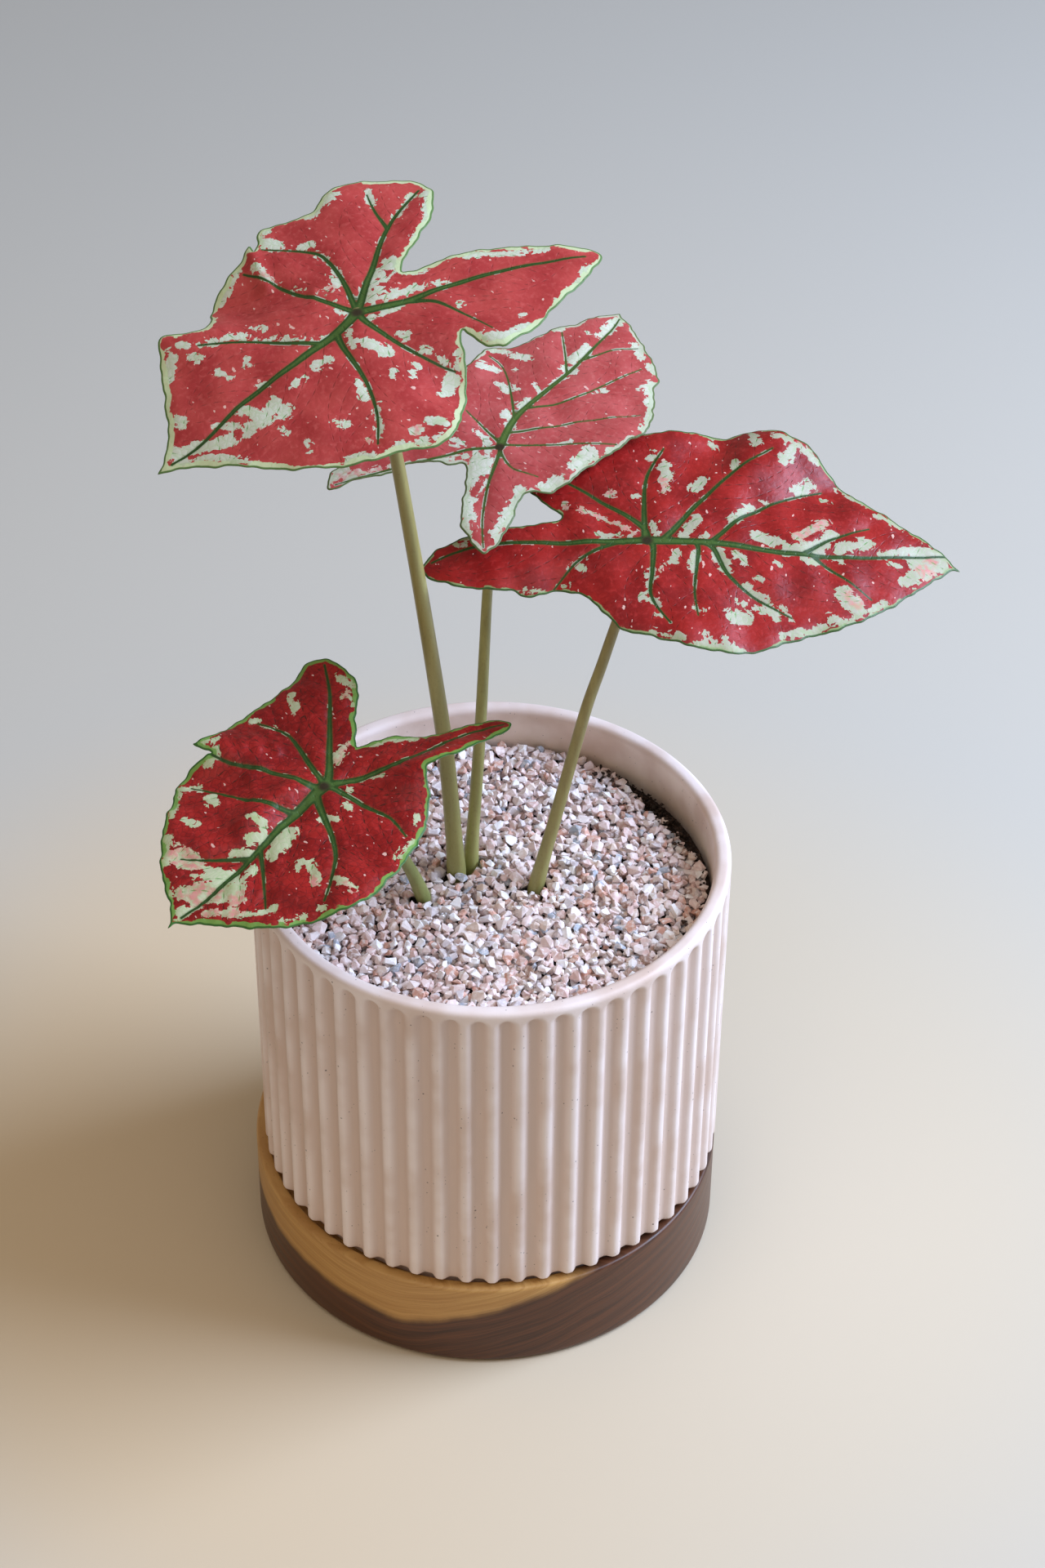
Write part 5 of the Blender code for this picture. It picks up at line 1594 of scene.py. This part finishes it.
    def stones(self, name: str, length: float) -> bpy.types.Collection:
        """A few stones, each the hull of seeded corners on a blocky egg.

        Args:
            name: The collection's name.
            length: Length of a stone.

        Returns:
            A collection that isn't in the scene.
        """
        rng = random.Random(29)
        kinds = bpy.data.collections.new(name)
        for kind in range(self.stone_kinds):
            work = bmesh.new()
            sides = (0.5, rng.uniform(0.32, 0.47), rng.uniform(0.24, 0.38))
            for _ in range(self.stone_corners):
                spot = [rng.gauss(0, 1) for _ in range(3)]
                far = sum(abs(part) ** 3 for part in spot) ** (1 / 3) / rng.uniform(0.86, 1.0)
                work.verts.new([part / far * side * length * MM
                                for part, side in zip(spot, sides)])
            hull = bmesh.ops.convex_hull(work, input=work.verts)
            loose = [item for item in hull["geom_interior"] if isinstance(item, bmesh.types.BMVert)]
            bmesh.ops.delete(work, geom=loose, context="VERTS")
            bmesh.ops.recalc_face_normals(work, faces=work.faces)
            mesh = bpy.data.meshes.new(f"{name}_{kind}")
            work.to_mesh(mesh)
            work.free()
            kinds.objects.link(bpy.data.objects.new(mesh.name, mesh))
        return kinds

    def tree(self, layers: tuple) -> bpy.types.NodeTree:
        """Tree that sets a stone on each peak and scatters layers of stones below them."""
        tree = Tree("stones", {"Stones": "Collection", "Kinds": "Int", "Half Height": "Float",
                               "Smallest": "Float", "Largest": "Float", "Material": "Material"})
        given = tree.given
        joined = tree.add("GeometryNodeJoinGeometry")
        kinds = tree.add(
            "GeometryNodeCollectionInfo",
            {"Collection": given["Stones"], "Separate Children": True, "Reset Children": True},
        )
        peak = tree.add("GeometryNodeInputNamedAttribute", {"Name": "peak"}, data_type="FLOAT")
        chosen = tree.add("FunctionNodeCompare", {0: peak.outputs[0], 1: 0.5})
        tops = tree.add("GeometryNodeMeshToPoints",
                        {"Mesh": given["Geometry"], "Selection": chosen.outputs[0]})
        deep = tree.times(given["Half Height"], -1.0)
        beds = [(tops.outputs[0], deep, deep, given["Smallest"], given["Largest"], 1)]
        share = tree.add("GeometryNodeInputNamedAttribute", {"Name": "open"}, data_type="FLOAT")
        for layer in layers:
            spots = tree.add(
                "GeometryNodeDistributePointsOnFaces",
                {"Mesh": given["Geometry"], "Distance Min": layer.spacing * MM,
                 "Density Max": 1.2e6, "Density Factor": share.outputs[0], "Seed": layer.seed},
                distribute_method="POISSON",
            )
            low, high = (-layer.sink - 0.4) * MM, (-layer.sink + 0.4) * MM
            beds.append((spots.outputs["Points"], low, high, layer.smallest, layer.largest,
                         10 * layer.seed))
        for points, low, high, smallest, largest, seed in beds:
            turned = tree.draw("FLOAT_VECTOR", (-0.6, -0.6, 0.0), (0.6, 0.6, 6.28), seed)
            laid = tree.add(
                "GeometryNodeInstanceOnPoints",
                {"Points": points, "Instance": kinds.outputs[0], "Pick Instance": True,
                 "Rotation": turned, "Scale": tree.draw("FLOAT", smallest, largest, seed + 1),
                 "Instance Index": tree.draw("INT", 0, given["Kinds"], seed + 2)},
            )
            lift = tree.join(0.0, 0.0, tree.draw("FLOAT", low, high, seed + 3))
            lifted = tree.add("GeometryNodeTranslateInstances",
                              {0: laid.outputs[0], "Translation": lift, "Local Space": False})
            tinted = tree.add(
                "GeometryNodeStoreNamedAttribute",
                {"Geometry": lifted.outputs[0], "Name": "tint",
                 "Value": tree.draw("FLOAT", 0.0, 1.0, seed + 4)},
                data_type="FLOAT", domain="INSTANCE",
            )
            tree.feed(joined.inputs[0], tinted.outputs[0])
        return tree.close(joined.outputs[0])

    def lay(
        self, sheet: bpy.types.Object, kinds: bpy.types.Collection, layers: tuple,
        material: bpy.types.Material,
    ) -> bpy.types.Object:
        """Turns a sheet into the stones that lie on it.

        Args:
            sheet: The sheet.
            kinds: The stones to pick from.
            layers: The layers to scatter.
            material: The finish.

        Returns:
            The same object with the stones as its mesh.
        """
        sheet.data = bake(sheet, self.tree(layers), {
            "Stones": kinds, "Kinds": self.stone_kinds - 1, "Material": material,
            "Half Height": self.stone_half_height * MM,
            "Smallest": self.top_sizes[0], "Largest": self.top_sizes[1],
        })
        sheet.data.name = sheet.name
        for kind in list(kinds.objects):
            bpy.data.objects.remove(kind)
        bpy.data.collections.remove(kinds)
        return sheet

    def build(self) -> None:
        """Builds and dresses the stones and the soil crumbs."""
        bed = self.sheet("gravel", 0.01, self.stones_here, self.top_spots())
        kinds = self.stones("stone", self.stone_length)
        gravel = self.lay(bed, kinds, self.layers, StoneFinish().material())
        hand_over(gravel, Slot.GRIT, "grit")
        bank = self.sheet("soil_crumbs", 53.0, self.crumbs_here, np.zeros((0, 3)))
        kinds = self.stones("crumb", 3.2)
        soil = SoilFinish("soil crumbs").material()
        crumbs = self.lay(bank, kinds, self.crumb_layers, soil)
        hand_over(crumbs, Slot.MIX)


@dataclass(frozen=True)
class Stem:
    """A leaf's stalk, from the tuber to the underside of its blade."""

    leaf: LeafPlan
    sides: int = 20
    step: float = 1.2
    foot_height: float = 99.0
    ground: float = 123.0
    neck_length: float = 4.0
    blade_gap: float = 0.7
    swelling: float = 0.3
    collar: float = 0.35

    def route(self) -> tuple[np.ndarray, np.ndarray]:
        """The middle line's points and the radius at each."""
        leaf = self.leaf
        up = leaf.normal()
        end = Vector(leaf.seat)
        neck = end - up * (self.neck_length + self.blade_gap)
        foot = Vector((*leaf.stalk_foot, self.foot_height))
        rooted = foot.lerp(Vector(leaf.stalk[0]), 0.5)
        line = catmull([foot, rooted, *leaf.stalk, neck], 12, closed=False)
        line = even_steps(np.vstack([line, np.array(end)]), self.step)
        climb = np.clip((line[:, 2] - self.ground) / (end.z - self.ground), 0, 1)
        radius = leaf.foot_radius + (leaf.neck_radius - leaf.foot_radius) * climb
        radius += self.swelling * np.exp(-(((line[:, 2] - self.ground) / 7.0) ** 2))
        to_end = np.linalg.norm(line - np.array(end), axis=1)
        radius += self.collar * np.exp(-((to_end / 1.3) ** 2))
        return line, radius

    def build(self) -> bpy.types.Object:
        """Builds and dresses the stalk."""
        line, radius = self.route()
        heading = np.gradient(line, axis=0)
        heading /= np.linalg.norm(heading, axis=1)[:, None]
        first = np.array([1.0, 0.0, 0.0]) - heading * heading[:, :1]
        first /= np.linalg.norm(first, axis=1)[:, None]
        second = np.cross(heading, first)
        angles = 2 * math.pi * np.arange(self.sides) / self.sides
        ribbed = 1 + 0.025 * np.cos(5 * angles + self.leaf.seed)
        rings = []
        for spot, across, aside, size in zip(line, first, second, radius):
            reach = (size * ribbed)[:, None]
            rings.append(spot + reach * (np.cos(angles)[:, None] * across
                                         + np.sin(angles)[:, None] * aside))
        places = np.vstack([*rings, line[:1], line[-1:]])
        count, last = self.sides, len(line) * self.sides
        faces = []
        for step in range(count):
            after = (step + 1) % count
            for ring in range(len(line) - 1):
                low, high = ring * count, (ring + 1) * count
                faces.append((low + step, low + after, high + after, high + step))
            faces.append((last, after, step))
            faces.append((last + 1, last - count + step, last - count + after))
        name = "stem_" + self.leaf.name
        mesh = plain_mesh(name, places, faces)
        climb = np.linspace(0.0, 1.0, len(line))
        note(mesh, "climb", np.concatenate([np.repeat(climb, count), [0.0, 1.0]]))
        piece = add_piece(name, mesh, self.leaf.stalk_finish.material())
        return hand_over(piece, Slot.STALK, "stalk_" + self.leaf.name)


@dataclass
class Blade:
    """A leaf's blade: a thin sheet whose veins are sunk above and stand out below."""

    leaf: LeafPlan
    grid: float = 0.62
    clear: float = 0.30
    thickness: float = 0.45
    edge_share: float = 0.6
    side_step: tuple = (4.5, 7.0)
    side_angle: float = 56.0
    side_bend: float = 1.3
    side_width: tuple = (0.36, 0.18)
    rng: random.Random = field(init=False)

    def __post_init__(self) -> None:
        """Seeds the draws with the leaf's own seed."""
        self.rng = random.Random(self.leaf.seed)

    def margin_line(self) -> np.ndarray:
        """The margin with a fine waviness of its own."""
        loop = even_steps(catmull(self.leaf.margin + self.leaf.margin[:1], 12, False), 0.55)[:-1]
        run = 2 * math.pi * np.arange(len(loop)) / len(loop)
        wave = np.zeros(len(loop))
        for turns, height in ((37, 0.16), (59, 0.12), (101, 0.07)):
            wave += height * np.sin(turns * run + self.rng.uniform(0, 6.28))
        return loop + sideways(loop, closed=True) * wave[:, None]

    def main_veins(self) -> list[tuple[np.ndarray, np.ndarray]]:
        """Middle line and half-widths of each main vein."""
        lines = []
        for vein in self.leaf.veins:
            line = even_steps(catmull(vein.points, 12, False), 0.4)
            share = np.linspace(0, 1, len(line)) ** 0.6
            lines.append((line, (vein.start + (vein.end - vein.start) * share) / 2))
        return lines

    def side_veins(self, loop: np.ndarray, mains: list) -> list[np.ndarray]:
        """Side veins that leave the main ones, bend outwards and stop near what they meet."""
        stop_lines = np.vstack([line for line, _ in mains])
        grown: list[np.ndarray] = []
        for line, _ in mains:
            run = 0.4 * np.arange(len(line))
            place = self.rng.uniform(2.0, 4.0)
            side = self.rng.choice((-1, 1))
            while place < run[-1] - 1.5:
                index = int(place / 0.4)
                tangent = line[min(index + 1, len(line) - 1)] - line[max(index - 1, 0)]
                angle = math.atan2(tangent[1], tangent[0])
                angle += side * math.radians(self.side_angle + self.rng.uniform(-8, 8))
                path = self.grow(line[index], angle, side, loop, stop_lines, grown)
                if len(path) > 4:
                    grown.append(path)
                side = -side
                place += self.rng.uniform(*self.side_step) / 2
        return grown

    def grow(
        self, start: np.ndarray, angle: float, side: int, loop: np.ndarray,
        mains: np.ndarray, others: list[np.ndarray],
    ) -> np.ndarray:
        """Grows one side vein.

        Args:
            start: Where it leaves its main vein.
            angle: Its first heading, in radians.
            side: 1 if it leaves to the left, -1 to the right.
            loop: The margin.
            mains: Points of all main veins.
            others: The side veins so far.

        Returns:
            The points of its middle line.
        """
        path = [start]
        rest = np.vstack(others) if others else np.zeros((0, 2))
        for step in range(70):
            angle -= side * math.radians(self.side_bend + self.rng.uniform(-2.0, 2.0))
            spot = path[-1] + 0.6 * np.array([math.cos(angle), math.sin(angle)])
            if np.hypot(*(loop - spot).T).min() < 1.5:
                break
            if step > 4 and np.hypot(*(mains - spot).T).min() < 0.9:
                break
            if step > 1 and len(rest) and np.hypot(*(rest - spot).T).min() < 0.9:
                break
            path.append(spot)
        return np.array(path)

    def spread(self, loop: np.ndarray, mains: list, sides: list) -> np.ndarray:
        """The sheet's inner points: rows along the veins and the margin, and a fine grid."""
        rows = []
        for line, halves in mains:
            left = sideways(line, closed=False) * halves[:, None]
            rows += [line, line + left, line - left]
        rows += [even_steps(line, 0.5) for line in sides]
        rows.append(loop + sideways(loop, closed=True) * 0.5)
        low, high = loop.min(axis=0), loop.max(axis=0)
        xs = np.arange(low[0], high[0], self.grid)
        ys = np.arange(low[1], high[1], self.grid * math.sqrt(3) / 2)
        grid_x, grid_y = np.meshgrid(xs, ys)
        grid_x = grid_x + 0.5 * self.grid * (np.arange(len(ys)) % 2)[:, None]
        rows.append(np.stack([grid_x.ravel(), grid_y.ravel()], axis=1))
        spots = np.vstack(rows)
        spots = spots[within(spots, loop)]
        depth, _ = depth_inside(spots, loop, np.zeros(len(loop)))
        return keep_apart(loop, spots[-depth > self.clear], self.clear)

    def strokes_field(self, spots: np.ndarray, strokes: tuple) -> np.ndarray:
        """How deep inside the nearest stroke each spot is."""
        if not strokes:
            return np.full(len(spots), -9.0)
        lines = [even_steps(np.array(stroke.points, float), 0.3) for stroke in strokes]
        halves = np.concatenate([
            np.full(len(line), stroke.half) for line, stroke in zip(lines, strokes)
        ])
        return depth_inside(spots, np.vstack(lines), halves)[0]

    def ripples(self, spots: np.ndarray) -> np.ndarray:
        """Soft unevenness and swells of the blade, in millimetres."""
        height = np.zeros(len(spots))
        for _ in range(7):
            turn = self.rng.uniform(0, 6.28)
            wave = self.rng.uniform(9.0, 20.0)
            lean = spots[:, 0] * math.cos(turn) + spots[:, 1] * math.sin(turn)
            height += np.sin(2 * math.pi * lean / wave + self.rng.uniform(0, 6.28))
        height *= self.leaf.crinkle / 2.6
        for swell in self.leaf.swells:
            line = even_steps(np.array(swell.points, float), 0.3)
            away, _ = depth_inside(spots, line, np.zeros(len(line)))
            height += swell.height * np.exp(-((away / swell.width) ** 2))
        return height

    def build(self) -> bpy.types.Object:
        """Builds and dresses the blade."""
        leaf = self.leaf
        loop = self.margin_line()
        mains = self.main_veins()
        sides = self.side_veins(loop, mains)
        spots = np.vstack([loop, self.spread(loop, mains, sides)])
        border = [(step, (step + 1) % len(loop)) for step in range(len(loop))]
        flat, _, faces, _, _, _ = geometry.delaunay_2d_cdt(
            [Vector(spot) for spot in spots], border, [], 1, 0.0001
        )
        spots = np.array(flat)
        line = np.vstack([vein for vein, _ in mains])
        halves = np.concatenate([half for _, half in mains])
        rib, nearest = depth_inside(spots, line, halves)
        side_line = np.vstack(sides)
        side_half = np.concatenate([
            np.linspace(*self.side_width, len(vein)) / 2 for vein in sides
        ])
        side, _ = depth_inside(spots, side_line, side_half)
        edge = -depth_inside(spots, even_steps(np.vstack([loop, loop[:1]]), 0.2),
                             np.zeros(1))[0]
        cream = self.strokes_field(spots, leaf.cream)
        cream = np.minimum(cream, -self.strokes_field(spots, leaf.islands))
        blush = self.strokes_field(spots, leaf.blush)
        fields = {
            "rib": rib, "side": side, "edge": edge, "blush": blush,
            "cream": np.maximum(cream, blush - 0.2),
        }
        mesh = self.sheet_mesh(spots, faces, fields, halves[nearest])
        piece = add_piece("leaf_" + leaf.name, mesh, leaf.blade_finish.material())
        return hand_over(piece, Slot.BLADE, "blade_" + leaf.name)

    def sheet_mesh(
        self, spots: np.ndarray, faces: list, fields: dict, vein_half: np.ndarray
    ) -> bpy.types.Mesh:
        """The bent sheet with its two faces and its rounded edge.

        Args:
            spots: The plan's points.
            faces: Its triangles.
            fields: Values of each point, by attribute name.
            vein_half: Half-width of the main vein nearest each point.

        Returns:
            The mesh, in place.
        """
        leaf = self.leaf
        along, across = spots.T
        off_vein = np.maximum(-fields["rib"], 0)
        off_side = np.maximum(-fields["side"], 0)
        (high, wide), (small, narrow) = leaf.quilt
        bulge = high * (1 - np.exp(-off_vein / wide))
        bulge += small * (1 - np.exp(-((off_side / narrow) ** 2)))
        bulge *= 0.35 + 0.65 * np.clip(fields["edge"] / 3.0, 0, 1)
        height = leaf.rise(along, across) + bulge + self.ripples(spots)
        reach = 0.5
        lean_along = (leaf.rise(along + reach, across) - leaf.rise(along - reach, across))
        lean_across = (leaf.rise(along, across + reach) - leaf.rise(along, across - reach))
        normal = np.stack([-lean_along, -lean_across, np.full(len(spots), 2 * reach)], axis=1)
        normal /= np.linalg.norm(normal, axis=1)[:, None]
        thin = self.edge_share + (1 - self.edge_share) * np.clip(fields["edge"] / 1.5, 0, 1)
        half = (self.thickness / 2 * thin)[:, None]
        from_middle = (vein_half - fields["rib"]) / (0.8 * vein_half + 0.25)
        ridge = (1.1 * vein_half * np.exp(-(from_middle**2)))[:, None]
        middle = np.stack([along, across, height], axis=1)
        top, bottom = middle + normal * half, middle - normal * (half + ridge)

        follow = {}
        directed = {(a, b) for face in faces for a, b in zip(face, (*face[1:], face[0]))}
        for a, b in directed:
            if (b, a) not in directed:
                follow[a] = b
        before = {b: a for a, b in follow.items()}
        rim = sorted(follow)
        heading = np.array([spots[follow[a]] - spots[before[a]] for a in rim])
        outward = np.stack([heading[:, 1], -heading[:, 0], np.zeros(len(rim))], axis=1)
        outward /= np.linalg.norm(outward, axis=1)[:, None]
        edge_line = middle[rim] + outward * 0.12

        count = len(spots)
        rim_number = {a: 2 * count + number for number, a in enumerate(rim)}
        quads = []
        for a, b in follow.items():
            quads.append((b, a, rim_number[a], rim_number[b]))
            quads.append((rim_number[b], rim_number[a], a + count, b + count))
        lower = [tuple(index + count for index in reversed(face)) for face in faces]
        local = np.vstack([top, bottom, edge_line])
        places = local @ leaf.turn().T + np.array(leaf.seat)
        upper = [tuple(face) for face in faces]
        mesh = plain_mesh("leaf_" + leaf.name, places, upper + lower + quads)
        for name, values in fields.items():
            note(mesh, name, np.concatenate([values, values, values[rim]]))
        flat = np.vstack([spots, spots, spots[rim]])
        under = np.concatenate([np.zeros(count), np.ones(count), np.full(len(rim), 0.3)])
        note(mesh, "plan", np.column_stack([flat, under]))
        return mesh


@dataclass(frozen=True)
class Studio:
    """Floor, lights and the camera at the photograph's viewing angle."""

    camera_place: Place = (0.0, -681.47, 724.54)
    yaw: float = 0.823
    pitch: float = 39.79
    roll: float = 0.583
    focal_pixels: float = 4063.6
    image_height: float = 1920.0
    sensor: float = 36.0
    floor_radius: float = 4000.0
    left_floor: Colour = (212, 189, 155)
    right_floor: Colour = (206, 193, 171)
    wall_side: Colour = (193, 188, 177)
    far_floor: Colour = (187, 185, 178)

    def add_camera(self) -> None:
        """Adds the camera and makes it the scene's."""
        yaw, pitch, roll = (math.radians(a) for a in (self.yaw, self.pitch, self.roll))
        ahead = Vector((math.sin(yaw) * math.cos(pitch), math.cos(yaw) * math.cos(pitch),
                        -math.sin(pitch)))
        level = ahead.cross(Vector((0, 0, 1))).normalized()
        above = level.cross(ahead)
        right = level * math.cos(roll) + above * math.sin(roll)
        up = above * math.cos(roll) - level * math.sin(roll)
        data = bpy.data.cameras.new("camera")
        data.sensor_width = self.sensor
        data.lens = self.focal_pixels * self.sensor / self.image_height
        data.clip_start, data.clip_end = 0.05, 20.0
        camera = bpy.data.objects.new("camera", data)
        turn = Matrix((right, up, -ahead)).transposed().to_4x4()
        camera.matrix_world = Matrix.Translation(Vector(self.camera_place) * MM) @ turn
        bpy.context.scene.collection.objects.link(camera)
        bpy.context.scene.camera = camera

    def add_floor(self) -> None:
        """Adds the plain pale floor, warm near the pot and cool far away."""
        bpy.ops.mesh.primitive_circle_add(
            vertices=128, radius=self.floor_radius * MM, fill_type="NGON"
        )
        floor = bpy.context.object
        floor.name = "floor"
        paint = Paint("pale floor")
        x, y, _ = paint.split(paint.place())
        away = paint.math("SQRT", paint.plus(paint.math("POWER", x, 2.0),
                                             paint.math("POWER", y, 2.0)))
        near = paint.mix(paint.ease(x, -0.18, 0.14), tone(self.left_floor),
                         tone(self.right_floor))
        colour = paint.mix(paint.ease(away, 0.13, 0.27), near, tone(self.wall_side))
        colour = paint.mix(paint.ease(away, 0.30, 0.80), colour, tone(self.far_floor))
        floor.data.materials.append(paint.finish(colour, 0.7))

    def add_light(self, name: str, place: Place, size: float, power: float, colour: Colour) -> None:
        """Adds a soft square light that faces the plant.

        Args:
            name: The light's name.
            place: Where it stands, in metres.
            size: Length of its side, in metres.
            power: Watts.
            colour: Its colour.
        """
        data = bpy.data.lights.new(name, "AREA")
        data.size, data.energy, data.color = size, power, tone(colour)[:3]
        light = bpy.data.objects.new(name, data)
        light.location = place
        aim = Vector((0.0, 0.0, 0.17)) - Vector(place)
        light.rotation_euler = aim.to_track_quat("-Z", "Y").to_euler()
        bpy.context.scene.collection.objects.link(light)

    def build(self) -> None:
        """Builds the studio."""
        self.add_camera()
        self.add_floor()
        self.add_light("window", (1.08, 0.08, 0.92), 0.85, 36.5, (202, 222, 255))
        self.add_light("ceiling", (0.05, -0.5, 1.55), 1.0, 4.5, (246, 244, 242))
        self.add_light("front fill", (-0.9, -1.0, 0.9), 1.2, 3.0, (255, 226, 190))
        world = bpy.data.worlds.new("pale room")
        world.use_nodes = True
        background = world.node_tree.nodes["Background"]
        background.inputs["Color"].default_value = tone((224, 214, 202))
        background.inputs["Strength"].default_value = 0.42
        bpy.context.scene.world = world
        bpy.context.scene.view_settings.view_transform = "Standard"


def dress_hidden_nodes() -> None:
    """Gives the CAD solids that stay, the potting mix and the tuber, their finish."""
    for node, slot, finish in (
        ("potting_mix", Slot.MIX, SoilFinish()), ("tuber", Slot.TUBER, TuberFinish()),
    ):
        obj = frame["nodes"][node]
        material = finish.material()
        if not obj.material_slots:
            obj.data.materials.append(material)
        for place in obj.material_slots:
            place.material = material
        log.info("%s: CAD solid kept, new finish", node)


def main() -> None:
    """Builds every piece in order."""
    logging.basicConfig(level=logging.INFO, format="%(name)s: %(message)s")
    Studio().build()
    TurnedBase().build()
    FlutedPot().build()
    dress_hidden_nodes()
    GravelBed().build()
    for leaf in LEAVES:
        Stem(leaf).build()
        Blade(leaf).build()


if __name__ == "__main__":
    main()
